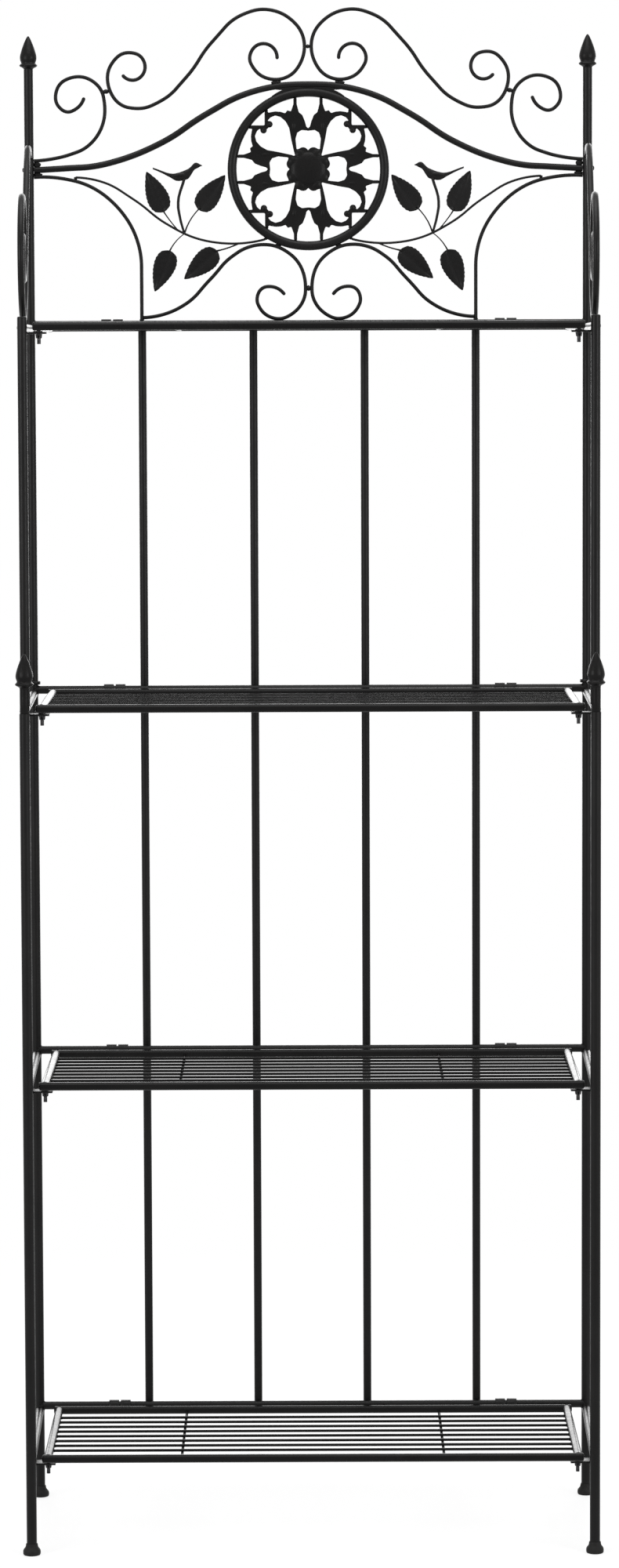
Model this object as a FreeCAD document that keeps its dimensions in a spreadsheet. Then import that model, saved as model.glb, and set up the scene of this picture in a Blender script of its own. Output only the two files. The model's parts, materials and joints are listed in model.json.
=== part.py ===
import FreeCAD, Part
import math
import os

import Sketcher
from FreeCAD import Placement, Rotation, Vector

doc = FreeCAD.newDocument("BakersRack")

# Driving sizes of the rack, in millimetres and counts
SIZES = [
    ("back_spread", 617, "between the centres of the back posts"),
    ("front_spread", 606, "between the centres of the front posts"),
    ("post_depth", 272, "between the centres of the front and back posts"),
    ("back_post_diameter", 10.2, "outside of a back post"),
    ("front_post_diameter", 11, "outside of a lower front post"),
    ("upper_post_diameter", 10.2, "outside of an upper front post"),
    ("post_wall", 1, "wall of the post tubes"),
    ("post_top_height", 1599.5, "top of the back posts, where the finials sit"),
    ("upper_post_rise", 9, "upper front post above the top shelf"),
    ("foot_diameter", 19, "a foot at the floor"),
    ("foot_height", 12.5, "a foot from floor to rim"),
    ("foot_sole", 3, "sole under the end of a post"),
    ("foot_lip", 0.9, "wall of a foot at its rim"),
    ("foot_flare", 4.5, "height of the flared base of a foot"),
    ("fit_clearance", 0.05, "radial play of plugs and sockets"),
    ("rail_diameter", 9, "cross rails, rungs and shelf rails"),
    ("rail_wall", 0.9, "wall of the rail tubes"),
    ("bar_diameter", 9, "upright bars of the back"),
    ("bar_overlap", 3, "bar past the centre of the end rails"),
    ("bar_pitch", 123.4, "between the upright bars"),
    ("bottom_shelf_height", 101, "centre of the lowest shelf rails"),
    ("shelf_pitch", 405, "from shelf to shelf"),
    ("hinge_rise", 3, "cross rail above the shelf rails"),
    ("hinge_reach", 12, "shelf back rail in front of the cross rail"),
    ("shelf_setback", 16, "shelf front rail behind the front posts"),
    ("shelf_inset", 17, "shelf end rail inside the line of the front posts"),
    ("wire_diameter", 3, "shelf wires"),
    ("wire_pitch", 23.5, "between lengthwise wires"),
    ("wire_count", 8, "lengthwise wires of a shelf"),
    ("cross_wire_offset", 142, "cross wires from the middle of the shelf"),
    ("clip_offset", 218, "hinge clips from the middle of the shelf"),
    ("clip_width", 11, "one knuckle of a clip"),
    ("clip_gap", 2, "between the two knuckles of a clip"),
    ("clip_thickness", 1.6, "strap of a clip"),
    ("clip_clearance", 0.1, "clip round the cross rail"),
    ("clip_web", 5, "height of the web from clip to shelf"),
    ("rung_drop", 1.5, "rung centre below the shelf rails"),
    ("rest_gap", 0.3, "between the shelf and what it rests on"),
    ("tab_thickness", 2, "rest tab"),
    ("tab_width", 18, "rest tab from front to back"),
    ("tab_overhang", 8, "rest tab past the stud"),
    ("tab_gap", 0.4, "rest tab behind the upper front post"),
    ("stud_diameter", 4, "locating stud"),
    ("stud_pin", 5, "stud above its shoulder"),
    ("stud_chamfer", 0.8, "chamfer at the top of the stud"),
    ("stud_tail", 6, "stud below the wing nut"),
    ("stud_hole_play", 0.35, "radial play of the stud in the shelf"),
    ("shoulder_diameter", 8, "shoulder of the stud"),
    ("nut_height", 4.6, "hub of a wing nut"),
    ("nut_diameter", 7.6, "hub of a wing nut"),
    ("nut_span", 18, "wing nut from tip to tip"),
    ("nut_wing_drop", 3, "wings below the hub"),
    ("nut_wing_thickness", 1.8, "wings of a nut"),
    ("nut_gap", 0.1, "between wing nut and rest tab"),
    ("collar_diameter", 15.4, "collar that joins a back post"),
    ("collar_height", 4, "collar between the two tubes"),
    ("collar_rise", 6, "collar above the cross rail beneath it"),
    ("plug_length", 14, "plugs inside the post tubes"),
    ("finial_height", 36.5, "spear finial from seat to tip"),
    ("finial_diameter", 18.8, "spear finial at its widest"),
    ("finial_collar", 20, "collar under the spear"),
    ("stem_height", 27, "stem under a front finial"),
    ("stem_diameter", 10, "stem under a finial"),
    ("front_post_drop", 4, "top of a lower front post below the shelf there"),
    ("crest_setback", 2.5, "crest plane behind the back posts"),
    ("arch_diameter", 7, "bar of the arch"),
    ("arch_foot_height", 170.4, "foot of the arch above the top rail"),
    ("arch_apex_height", 263.4, "top of the arch above the top rail"),
    ("top_scroll_rise", 82.1, "top scrolls above the top of the arch"),
    ("scroll_diameter", 4, "rod of the crest scrolls"),
    ("branch_diameter", 2.6, "rod of the branches"),
    ("ring_diameter", 168.6, "middle of the medallion ring"),
    ("ring_bar_diameter", 10.2, "bar of the medallion ring"),
    ("lower_scroll_tuck", 6.6, "lower scrolls past the bottom of the ring"),
    ("branch_height", 89.1, "lowest run of a branch above the top rail"),
    ("shoulder_band", 25, "height below the foot of the arch where spandrels and branches leave it"),
    ("rosette_thickness", 4, "cast rosette"),
    ("leaf_thickness", 2, "sheet of leaves and birds"),
    ("leaf_length", 48, "blade of a leaf"),
    ("leaf_width", 25, "widest part of a leaf"),
    ("leaf_gap", 0.5, "least gap between a leaf and the ring"),
    ("stalk_width", 2, "stalk of a leaf"),
    ("bird_length", 54, "bird from beak to tail"),
    ("stem_width", 3, "stem under a bird"),
    ("tie_diameter", 3.6, "weld ties between neighbouring rods"),
    ("touch_gap", 0.02, "between pieces that are welded together"),
    ("side_scroll_diameter", 7, "rod of the side scrolls"),
    ("side_scroll_height", 196, "side scroll above the top shelf"),
    ("screw_head_diameter", 5.5, "panel screw head"),
    ("screw_head_height", 2.5, "panel screw head"),
]
SHELF_COUNT = 4

sheet = doc.addObject("Spreadsheet::Sheet", "Sizes")
for row, (name, value, note) in enumerate(SIZES, 1):
    sheet.set("A%d" % row, note)
    sheet.set("B%d" % row, str(value))
    sheet.setAlias("B%d" % row, name)
doc.recompute()

NAMES = [name for name, value, note in SIZES]


def size(name):
    """A driving size as a number."""
    return float(sheet.get(name))


def bound(text):
    """An expression in which each driving size is read from the sheet."""
    words = text.replace("(", " ( ").replace(")", " ) ").split()
    return " ".join("Sizes." + word if word in NAMES else word for word in words)


def value_of(text):
    """The value of a bound expression, worked out by the sheet."""
    return float(sheet.evalExpression(bound(text)))


def bind(thing, **expressions):
    for prop, text in expressions.items():
        thing.setExpression(prop.replace("__", "."), bound(text))


TURNS = {
    "x": Rotation(Vector(0, 1, 0), 90),
    "y": Rotation(Vector(1, 0, 0), -90),
    "z": Rotation(),
}


def place(thing, x="0", y="0", z="0", axis="z"):
    """Puts a piece at a bound position, along an axis."""
    thing.Placement = Placement(Vector(0, 0, 0), TURNS[axis])
    bind(thing, Placement__Base__x=x, Placement__Base__y=y, Placement__Base__z=z)


# Places that several pieces share
BACK_X = "( back_spread / 2 )"
FRONT_X = "( front_spread / 2 )"
BACK_Y = "( post_depth / 2 - ( rail_diameter / 2 + bar_diameter - foot_diameter / 2 ) / 2 )"
FRONT_Y = "( %s - post_depth )" % BACK_Y
UPPER_Y = "( %s + ( finial_collar + upper_post_diameter ) / 2 + touch_gap )" % FRONT_Y
SHELF_FRONT_Y = "( %s + shelf_setback )" % FRONT_Y
SHELF_BACK_Y = "( %s - hinge_reach )" % BACK_Y
STUD_Y = "( %s + ( upper_post_diameter + tab_width ) / 2 + tab_gap )" % UPPER_Y
END_X = "( front_spread / 2 - shelf_inset )"
RUNG_BOTTOM = "( 0 - rung_drop - rail_diameter / 2 - touch_gap )"
PLUG = "( back_post_diameter / 2 - post_wall - fit_clearance )"


def shelf_z(number):
    """Height of a shelf, counted from the floor up."""
    return "( bottom_shelf_height + %d * shelf_pitch )" % (number - 1)


def rail_z(number):
    """Height of the cross rail behind a shelf."""
    return "( %s + hinge_rise )" % shelf_z(number)


nodes = {}
paths = {}


def node(label, thing):
    """Keeps a finished piece under the name of its file."""
    thing.Label = label
    nodes[label] = thing
    return thing


def cylinder(label, diameter, length, axis, x="0", y="0", z="0"):
    """A round bar that starts at a point and runs along an axis."""
    bar = doc.addObject("Part::Cylinder", label)
    bind(bar, Radius="( %s ) / 2" % diameter, Height=length)
    place(bar, x, y, z, axis)
    return bar


def cut(label, base, tool):
    result = doc.addObject("Part::Cut", label)
    result.Base = base
    result.Tool = tool
    return result


def fuse(label, pieces):
    result = doc.addObject("Part::MultiFuse", label)
    result.Shapes = pieces
    return result


def group(label, pieces):
    """Separate solids that share one node."""
    result = doc.addObject("Part::Compound", label)
    result.Links = pieces
    return result


def placed(label, source, x="0", y="0", z="0"):
    """A copy of a piece at its own place."""
    copy = group(label, [source])
    place(copy, x, y, z)
    return copy


def mirrored(label, source):
    """The same piece on the other side of the middle of the rack."""
    result = doc.addObject("Part::Mirroring", label)
    result.Source = source
    result.Normal = Vector(1, 0, 0)
    return result


def tube(label, diameter, wall, length, axis, x="0", y="0", z="0", copes=()):
    """A tube whose ends are coped to the round bars that it meets."""
    outer = cylinder(label + "_outer", diameter, length, axis, x, y, z)
    bore = cylinder(label + "_bore", "%s - 2 * %s" % (diameter, wall), length, axis, x, y, z)
    result = cut(label, outer, bore)
    for cope in copes:
        result = cut(label + "_coped", result, cope)
    return result


def strut(label, diameter, start, end):
    """A round bar from one point to another."""
    bar = doc.addObject("Part::Cylinder", label)
    bind(bar, Radius="( %s ) / 2" % diameter)
    bar.Height = (end - start).Length
    bar.Placement = Placement(start, Rotation(Vector(0, 0, 1), end - start))
    return bar


def outline_sketch(body, name, corners):
    """A closed outline of straight sides on the body's front plane, with bound corners."""
    sketch = body.newObject("Sketcher::SketchObject", name)
    plane = [item for item in body.Origin.OriginFeatures if item.Role == "XZ_Plane"][0]
    sketch.AttachmentSupport = [(plane, "")]
    sketch.MapMode = "FlatFace"
    values = [(value_of(across), value_of(up)) for across, up in corners]
    count = len(corners)
    for i in range(count):
        start = Vector(values[i][0], values[i][1], 0)
        end = Vector(values[(i + 1) % count][0], values[(i + 1) % count][1], 0)
        sketch.addGeometry(Part.LineSegment(start, end), False)
    for i in range(count):
        sketch.addConstraint(Sketcher.Constraint("Coincident", i, 2, (i + 1) % count, 1))
    for i, (across, up) in enumerate(corners):
        number = sketch.addConstraint(Sketcher.Constraint("DistanceX", -1, 1, i, 1, values[i][0]))
        sketch.setExpression("Constraints[%d]" % number, bound(across))
        number = sketch.addConstraint(Sketcher.Constraint("DistanceY", -1, 1, i, 1, values[i][1]))
        sketch.setExpression("Constraints[%d]" % number, bound(up))
    return sketch


def turned(label, corners):
    """A turned piece: an outline of radius and height, spun about its own axis."""
    body = doc.addObject("PartDesign::Body", label)
    sketch = outline_sketch(body, label + "_outline", corners)
    spin = body.newObject("PartDesign::Revolution", label + "_turn")
    spin.Profile = sketch
    spin.ReferenceAxis = (sketch, ["V_Axis"])
    spin.Angle = 360
    body.Tip = spin
    return body


# Round bars that other pieces are coped to
back_cope = cylinder("back_cope", "back_post_diameter", "post_top_height", "z", BACK_X, BACK_Y)
back_cope_left = mirrored("back_cope_left", back_cope)
front_cope = cylinder("front_cope", "front_post_diameter", "post_top_height", "z", FRONT_X, FRONT_Y)
upper_cope = cylinder("upper_cope", "upper_post_diameter", "post_top_height", "z", FRONT_X, UPPER_Y)

# Back posts: a lower and an upper tube on each side, joined by a collar with a plug each way
COLLAR_Z = "( %s + collar_rise )" % rail_z(3)
lower = tube("back_post_lower", "back_post_diameter", "post_wall", COLLAR_Z + " - foot_sole", "z",
             BACK_X, BACK_Y, "foot_sole")
node("back_post_lower_right", lower)
node("back_post_lower_left", mirrored("back_post_lower_left", lower))
upper = tube("back_post_upper", "back_post_diameter", "post_wall",
             "post_top_height - %s - collar_height" % COLLAR_Z, "z",
             BACK_X, BACK_Y, COLLAR_Z + " + collar_height")
node("back_post_upper_right", upper)
node("back_post_upper_left", mirrored("back_post_upper_left", upper))

collar = turned("collar", [
    ("0", "0 - plug_length"),
    (PLUG, "0 - plug_length"),
    (PLUG, "0"),
    ("collar_diameter / 2 - collar_height / 4", "0"),
    ("collar_diameter / 2", "collar_height / 4"),
    ("collar_diameter / 2", "collar_height * 3 / 4"),
    ("collar_diameter / 2 - collar_height / 4", "collar_height"),
    (PLUG, "collar_height"),
    (PLUG, "collar_height + plug_length"),
    ("0", "collar_height + plug_length"),
])
right = placed("collar_right", collar, BACK_X, BACK_Y, COLLAR_Z)
node("post_collars", group("post_collars", [right, mirrored("collar_left", right)]))


def spear(label, stem, plug):
    """A spear finial with its collar, its stem, and a plug in the tube below."""
    return turned(label, [
        ("0", "0 - %s - plug_length" % stem),
        (plug, "0 - %s - plug_length" % stem),
        (plug, "0 - %s" % stem),
        ("stem_diameter / 2", "0 - %s" % stem),
        ("stem_diameter / 2", "finial_height * 0.02"),
        ("finial_collar / 2 * 0.9", "finial_height * 0.09"),
        ("finial_collar / 2", "finial_height * 0.12"),
        ("finial_collar / 2 * 0.9", "finial_height * 0.16"),
        ("finial_diameter / 2 * 0.86", "finial_height * 0.19"),
        ("finial_diameter / 2 * 0.97", "finial_height * 0.26"),
        ("finial_diameter / 2", "finial_height * 0.34"),
        ("finial_diameter / 2 * 0.93", "finial_height * 0.45"),
        ("finial_diameter / 2 * 0.73", "finial_height * 0.63"),
        ("finial_diameter / 2 * 0.42", "finial_height * 0.83"),
        ("finial_diameter / 2 * 0.09", "finial_height"),
        ("0", "finial_height"),
    ])


right = placed("back_finial", spear("back_spear", "touch_gap", PLUG), BACK_X, BACK_Y, "post_top_height + 2 * touch_gap")
node("back_finials", group("back_finials", [right, mirrored("back_finial_left", right)]))


def foot(label, diameter):
    """A turned foot: a flared base and a socket round the end of a post."""
    socket = "( %s / 2 + fit_clearance )" % diameter
    rim = "( %s / 2 + fit_clearance + foot_lip )" % diameter
    return turned(label, [
        ("0", "0"),
        ("foot_diameter / 2", "0"),
        ("foot_diameter / 2", "foot_flare"),
        (rim, "foot_flare * 1.6"),
        (rim, "foot_height"),
        (socket, "foot_height"),
        (socket, "foot_sole"),
        ("0", "foot_sole"),
    ])


back_foot = placed("back_foot_right", foot("back_foot", "back_post_diameter"), BACK_X, BACK_Y)
front_foot = placed("front_foot_right", foot("front_foot", "front_post_diameter"), FRONT_X, FRONT_Y)
node("feet", group("feet", [
    back_foot,
    front_foot,
    mirrored("back_foot_left", back_foot),
    mirrored("front_foot_left", front_foot),
]))

# Cross rails between the back posts, one behind each shelf
rail_copes = {}
for number in range(1, SHELF_COUNT + 1):
    rail = tube("cross_rail", "rail_diameter", "rail_wall", "back_spread", "x",
                "0 - back_spread / 2", BACK_Y, rail_z(number), [back_cope, back_cope_left])
    node("cross_rail_%d" % number, rail)
    rail_copes[number] = cylinder("rail_cope", "rail_diameter", "back_spread", "x",
                                  "0 - back_spread / 2", BACK_Y, rail_z(number))

# Upright bars behind the cross rails
BAR_Y = "( %s + ( rail_diameter + bar_diameter ) / 2 + touch_gap )" % BACK_Y
BAR_LENGTH = "%s - %s + 2 * bar_overlap" % (rail_z(SHELF_COUNT), rail_z(1))
bars = []
for step in (0.5, 1.5):
    bar = tube("bar", "bar_diameter", "rail_wall", BAR_LENGTH, "z",
               "%s * bar_pitch" % step, BAR_Y, rail_z(1) + " - bar_overlap")
    bars += [bar, mirrored("bar_left", bar)]
node("back_bars", group("back_bars", bars))

# Front posts: a lower tube to mid height, and an upper tube that stands on a rung behind it
FRONT_TOP = "( %s - front_post_drop )" % shelf_z(3)
lower = tube("front_post_lower", "front_post_diameter", "post_wall", FRONT_TOP + " - foot_sole", "z",
             FRONT_X, FRONT_Y, "foot_sole")
node("front_post_lower_right", lower)
node("front_post_lower_left", mirrored("front_post_lower_left", lower))

FRONT_PLUG = "( front_post_diameter / 2 - post_wall - fit_clearance )"
right = placed("front_finial", spear("front_spear", "stem_height", FRONT_PLUG),
               FRONT_X, FRONT_Y, FRONT_TOP + " + stem_height + touch_gap")
node("front_finials", group("front_finials", [right, mirrored("front_finial_left", right)]))

UPPER_FOOT = "( %s - rung_drop + rail_diameter / 2 + touch_gap )" % shelf_z(3)
upper = cylinder("front_post_upper_outer", "upper_post_diameter",
                 "%s + upper_post_rise - %s" % (shelf_z(4), UPPER_FOOT), "z", FRONT_X, UPPER_Y, UPPER_FOOT)
bore = cylinder("front_post_upper_bore", "upper_post_diameter - 2 * post_wall",
                "%s + upper_post_rise - %s - post_wall" % (shelf_z(4), UPPER_FOOT), "z",
                FRONT_X, UPPER_Y, UPPER_FOOT)
upper = node("front_post_upper_right", cut("front_post_upper", upper, bore))
node("front_post_upper_left", mirrored("front_post_upper_left", upper))

def side_point(y, z):
    """A point of the right side, whose plane runs through the front and back posts."""
    share = (y - value_of(FRONT_Y)) / size("post_depth")
    return Vector(value_of(FRONT_X) + share * value_of("( back_spread - front_spread ) / 2"), y, z)


# Rungs from back post to front post, one at each end of each shelf
rungs = []
for number in range(1, SHELF_COUNT + 1):
    height = value_of(shelf_z(number) + " - rung_drop")
    start = side_point(value_of(UPPER_Y if number == SHELF_COUNT else FRONT_Y), height)
    end = side_point(value_of(BACK_Y), height)
    rung = cut("rung", strut("rung_outer", "rail_diameter", start, end),
               strut("rung_bore", "rail_diameter - 2 * rail_wall", start, end))
    for cope in (back_cope, upper_cope if number == SHELF_COUNT else front_cope, rail_copes[number]):
        rung = cut("rung_coped", rung, cope)
    rungs.append(rung)
node("side_rungs_right", group("side_rungs_right", rungs))
node("side_rungs_left", mirrored("side_rungs_left", nodes["side_rungs_right"]))

# Rest tabs under the rungs, each with a shoulder stud that locates the shelf
tabs = []
for number in range(1, SHELF_COUNT + 1):
    plate = doc.addObject("Part::Box", "tab_plate")
    bind(plate, Length="shelf_inset + tab_overhang + rail_diameter / 2", Width="tab_width", Height="tab_thickness")
    place(plate, END_X + " - tab_overhang", STUD_Y + " - tab_width / 2",
          "%s + %s - tab_thickness" % (shelf_z(number), RUNG_BOTTOM))
    hole = cylinder("tab_hole", "stud_diameter + 2 * fit_clearance", "tab_thickness", "z",
                    END_X, STUD_Y, "%s + %s - tab_thickness" % (shelf_z(number), RUNG_BOTTOM))
    tab = cut("tab", plate, hole)
    tabs += [tab, mirrored("tab_left", tab)]
node("rest_tabs", group("rest_tabs", tabs))

SHOULDER = "( rung_drop + touch_gap - rest_gap )"
STUD_BOTTOM = "0 - tab_thickness - nut_gap - nut_height - stud_tail"
stud = turned("stud", [
    ("0", STUD_BOTTOM),
    ("stud_diameter / 2", STUD_BOTTOM),
    ("stud_diameter / 2", "0"),
    ("shoulder_diameter / 2", "0"),
    ("shoulder_diameter / 2", SHOULDER),
    ("stud_diameter / 2", SHOULDER),
    ("stud_diameter / 2", SHOULDER + " + stud_pin - stud_chamfer"),
    ("stud_diameter / 2 - stud_chamfer", SHOULDER + " + stud_pin"),
    ("0", SHOULDER + " + stud_pin"),
])
studs = []
for number in range(1, SHELF_COUNT + 1):
    one = placed("stud_right", stud, END_X, STUD_Y, "%s + %s" % (shelf_z(number), RUNG_BOTTOM))
    studs += [one, mirrored("stud_left", one)]
node("locating_studs", group("locating_studs", studs))

# Wing nuts under the rest tabs: a turned hub and two pressed wings, left pointing front and back
NUT_BORE = "( stud_diameter / 2 + fit_clearance )"
nut = turned("nut", [
    (NUT_BORE, "0"),
    ("nut_diameter / 2", "0"),
    ("nut_diameter / 2 * 0.8", "0 - nut_height"),
    (NUT_BORE, "0 - nut_height"),
])
for side in ("", "0 - "):
    outline = outline_sketch(nut, "nut_wing_outline", [
        (side + "nut_diameter / 2 * 0.75", "0 - nut_height * 0.26"),
        (side + "nut_diameter / 2 * 1.1", "0 - nut_height * 0.3"),
        (side + "nut_span / 2 * 0.9", "0 - nut_height * 0.9"),
        (side + "nut_span / 2", "0 - nut_height - nut_wing_drop * 0.3"),
        (side + "nut_span / 2", "0 - nut_height - nut_wing_drop * 0.7"),
        (side + "nut_span / 2 * 0.9", "0 - nut_height - nut_wing_drop"),
        (side + "nut_span / 2 * 0.68", "0 - nut_height - nut_wing_drop * 0.85"),
        (side + "nut_diameter / 2 * 0.75", "0 - nut_height * 0.95"),
    ])
    wing = nut.newObject("PartDesign::Pad", "nut_wing")
    wing.Profile = outline
    wing.SideType = "Symmetric"
    bind(wing, Length="nut_wing_thickness")
    nut.Tip = wing
nut.Placement = Placement(Vector(0, 0, 0), Rotation(Vector(0, 0, 1), 90))
for number in range(1, SHELF_COUNT + 1):
    height = "%s + %s - tab_thickness - nut_gap" % (shelf_z(number), RUNG_BOTTOM)
    node("wing_nut_right_%d" % number, placed("wing_nut_right", nut, END_X, STUD_Y, height))
    node("wing_nut_left_%d" % number, placed("wing_nut_left", nut, "0 - " + END_X, STUD_Y, height))

# One shelf at floor level: a frame of four tubes
FRAME_LENGTH = "2 * %s + rail_diameter" % END_X
FRAME_START = "0 - %s - rail_diameter / 2" % END_X
front_rail = tube("shelf_front", "rail_diameter", "rail_wall", FRAME_LENGTH, "x", FRAME_START, SHELF_FRONT_Y)
back_rail = tube("shelf_back", "rail_diameter", "rail_wall", FRAME_LENGTH, "x", FRAME_START, SHELF_BACK_Y)
front_bar = cylinder("shelf_front_cope", "rail_diameter", FRAME_LENGTH, "x", FRAME_START, SHELF_FRONT_Y)
back_bar = cylinder("shelf_back_cope", "rail_diameter", FRAME_LENGTH, "x", FRAME_START, SHELF_BACK_Y)
stud_hole = cylinder("stud_hole", "stud_diameter + 2 * stud_hole_play", "rail_diameter", "z",
                     END_X, STUD_Y, "0 - rail_diameter")
end_rail = tube("shelf_end", "rail_diameter", "rail_wall", "%s - %s" % (SHELF_BACK_Y, SHELF_FRONT_Y), "y",
                END_X, SHELF_FRONT_Y, "0", [front_bar, back_bar, stud_hole])
frame = group("shelf_frame", [front_rail, back_rail, end_rail, mirrored("shelf_end_left", end_rail)])

# The wires of a shelf: lengthwise wires that lie on two cross wires
wires = []
wire_count = int(size("wire_count"))
for i in range(wire_count):
    across = "( %s + %s ) / 2 + %s * wire_pitch" % (SHELF_FRONT_Y, SHELF_BACK_Y, i - (wire_count - 1) / 2)
    wires.append(cylinder("wire", "wire_diameter", "2 * %s - rail_diameter - 2 * touch_gap" % END_X, "x",
                          "0 - %s + rail_diameter / 2 + touch_gap" % END_X, across))
for side in ("", "0 - "):
    wires.append(cylinder("cross_wire", "wire_diameter",
                          "%s - %s - rail_diameter" % (SHELF_BACK_Y, SHELF_FRONT_Y), "y",
                          side + "cross_wire_offset", SHELF_FRONT_Y + " + rail_diameter / 2",
                          "0 - wire_diameter - touch_gap"))
wire_set = group("shelf_wires", wires)

# The hinge clips of a shelf: two knuckles each, round the cross rail and welded to the back rail
clips = []
CLIP_BORE = "rail_diameter + 2 * clip_clearance"
for offset in ("clip_offset + clip_gap / 2", "clip_offset - clip_gap / 2 - clip_width"):
    eye = cylinder("clip_eye", CLIP_BORE + " + 2 * clip_thickness", "clip_width", "x", offset, BACK_Y, "hinge_rise")
    web = doc.addObject("Part::Box", "clip_web")
    bind(web, Length="clip_width", Width="hinge_reach", Height="clip_web")
    place(web, offset, SHELF_BACK_Y, "hinge_rise / 2 - clip_web / 2")
    bore = cylinder("clip_bore", CLIP_BORE, "clip_width", "x", offset, BACK_Y, "hinge_rise")
    knuckle = cut("knuckle", cut("knuckle_bored", fuse("knuckle_blank", [eye, web]), bore), back_bar)
    clips += [knuckle, mirrored("knuckle_left", knuckle)]
clip_set = group("hinge_clips", clips)

for number in range(1, SHELF_COUNT + 1):
    node("shelf_frame_%d" % number, placed("shelf_frame_set", frame, z=shelf_z(number)))
    node("shelf_wires_%d" % number, placed("shelf_wire_set", wire_set, z=shelf_z(number)))
    node("hinge_clips_%d" % number, placed("hinge_clip_set", clip_set, z=shelf_z(number)))


def tangents(points):
    """The direction at each point, taken from the circle through its neighbours."""
    result = []
    for before, here, after in zip(points, points[1:], points[2:]):
        back = here - before
        ahead = after - here
        result.append((back / back.Length ** 2 + ahead / ahead.Length ** 2).normalize())
    first = (points[1] - points[0]).normalize()
    last = (points[-1] - points[-2]).normalize()
    start = first * (2 * first.dot(result[0])) - result[0]
    end = last * (2 * last.dot(result[-1])) - result[-1]
    return [start] + result + [end]


def bend(start, way, end):
    """An arc that leaves a point in a given direction and ends at another point."""
    chord = end - start
    along = Vector(chord).normalize()
    side = way - along * way.dot(along)
    if side.Length < 0.0001:
        return Part.LineSegment(start, end).toShape()
    half = math.asin(min(1, side.Length)) / 2
    middle = (start + end) / 2 + side.normalize() * (chord.Length / 2 * math.tan(half))
    return Part.Arc(start, middle, end).toShape()


def curve(points, start=None, end=None):
    """A smooth path of tangent arcs through points, two arcs between each pair."""
    ways = tangents(points)
    ways[0] = start or ways[0]
    ways[-1] = end or ways[-1]
    edges = []
    for p0, p1, t0, t1 in zip(points, points[1:], ways, ways[1:]):
        span = p1 - p0
        both = t0 + t1
        lean = 2 * (1 - t0.dot(t1))
        if lean < 0.000001:
            reach = span.dot(span) / (4 * span.dot(t1))
        else:
            reach = (math.sqrt(span.dot(both) ** 2 + lean * span.dot(span)) - span.dot(both)) / lean
        joint = (p0 + p1 + (t0 - t1) * reach) / 2
        edges.append(bend(p0, t0, joint))
        leave = (joint - p0).normalize()
        edges.append(bend(joint, leave * (2 * leave.dot(t0)) - t0, p1))
    return edges


def rod(label, diameter, edges):
    """A round rod swept along a path."""
    path = doc.addObject("Part::Feature", label + "_path")
    path.Shape = Part.Wire(edges)
    first = edges[0]
    ring = doc.addObject("Part::Circle", label + "_section")
    ring.Placement = Placement(
        first.valueAt(first.FirstParameter),
        Rotation(Vector(0, 0, 1), first.tangentAt(first.FirstParameter)),
    )
    bind(ring, Radius=diameter + " / 2")
    sweep = doc.addObject("Part::Sweep", label)
    sweep.Sections = [ring]
    sweep.Spine = (path, ["Edge%d" % (i + 1) for i in range(len(path.Shape.Edges))])
    sweep.Solid = True
    sweep.Frenet = False
    paths[label] = path.Shape
    return sweep


# The crest lies in one plane; its curves fit between the posts, the top rail, the arch and the ring
crest_y = value_of(BACK_Y + " + crest_setback")
rail_height = value_of(rail_z(SHELF_COUNT))
post_face = value_of(BACK_X + " - back_post_diameter / 2 - touch_gap")
foot_height = size("arch_foot_height")
apex_height = size("arch_apex_height")
scroll_rise = size("top_scroll_rise")
arch_r = size("arch_diameter") / 2
scroll_r = size("scroll_diameter") / 2
branch_r = size("branch_diameter") / 2
touch = size("touch_gap")
ring_outer = (size("ring_diameter") + size("ring_bar_diameter")) / 2
ring_inner = (size("ring_diameter") - size("ring_bar_diameter")) / 2
ring_height = apex_height - arch_r - ring_outer - touch
rail_top = value_of("rail_diameter / 2 + touch_gap")
bar_x = value_of("1.5 * bar_pitch")


def crest(across, up):
    """A point of the crest, from the middle of the rack and from the top rail."""
    return Vector(across, crest_y, rail_height + up)


# Arch: one bar bent over the whole width, as shares of the half span and of the rise from foot to apex
HALF_ARCH = [
    (1.0, 0.0), (0.873, 0.022), (0.789, 0.04), (0.664, 0.139), (0.529, 0.327), (0.371, 0.653),
    (0.245, 0.868), (0.12, 0.976), (0.0, 1.0),
]
arch_points = [crest(-u * post_face, foot_height + w * (apex_height - foot_height)) for u, w in HALF_ARCH]
arch_points += [Vector(-p.x, p.y, p.z) for p in reversed(arch_points[:-1])]
node("crest_arch", rod("crest_arch", "arch_diameter", curve(arch_points)))


def over_arch(points):
    """Points above the arch: shares of the half span, and of the scrolls' rise over the arch there."""
    result = []
    for u, v in points:
        for (u_out, w_out), (u_in, w_in) in zip(HALF_ARCH, HALF_ARCH[1:]):
            if u_in <= u <= u_out:
                share = w_in + (w_out - w_in) * (u - u_in) / (u_out - u_in)
        arch_here = foot_height + share * (apex_height - foot_height)
        result.append(crest(u * post_face, arch_here + v * scroll_rise))
    return result


def under_arch(points):
    """Points below the arch: shares of the half span, and levels: 1 is the low run of the branch,
    2 the bottom of the shoulder band, 3 the foot of the arch."""
    levels = [0, size("branch_height"), foot_height - size("shoulder_band"), foot_height]
    result = []
    for u, level in points:
        step = min(int(level), 2)
        result.append(crest(u * post_face, levels[step] + (level - step) * (levels[step + 1] - levels[step])))
    return result

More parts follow.
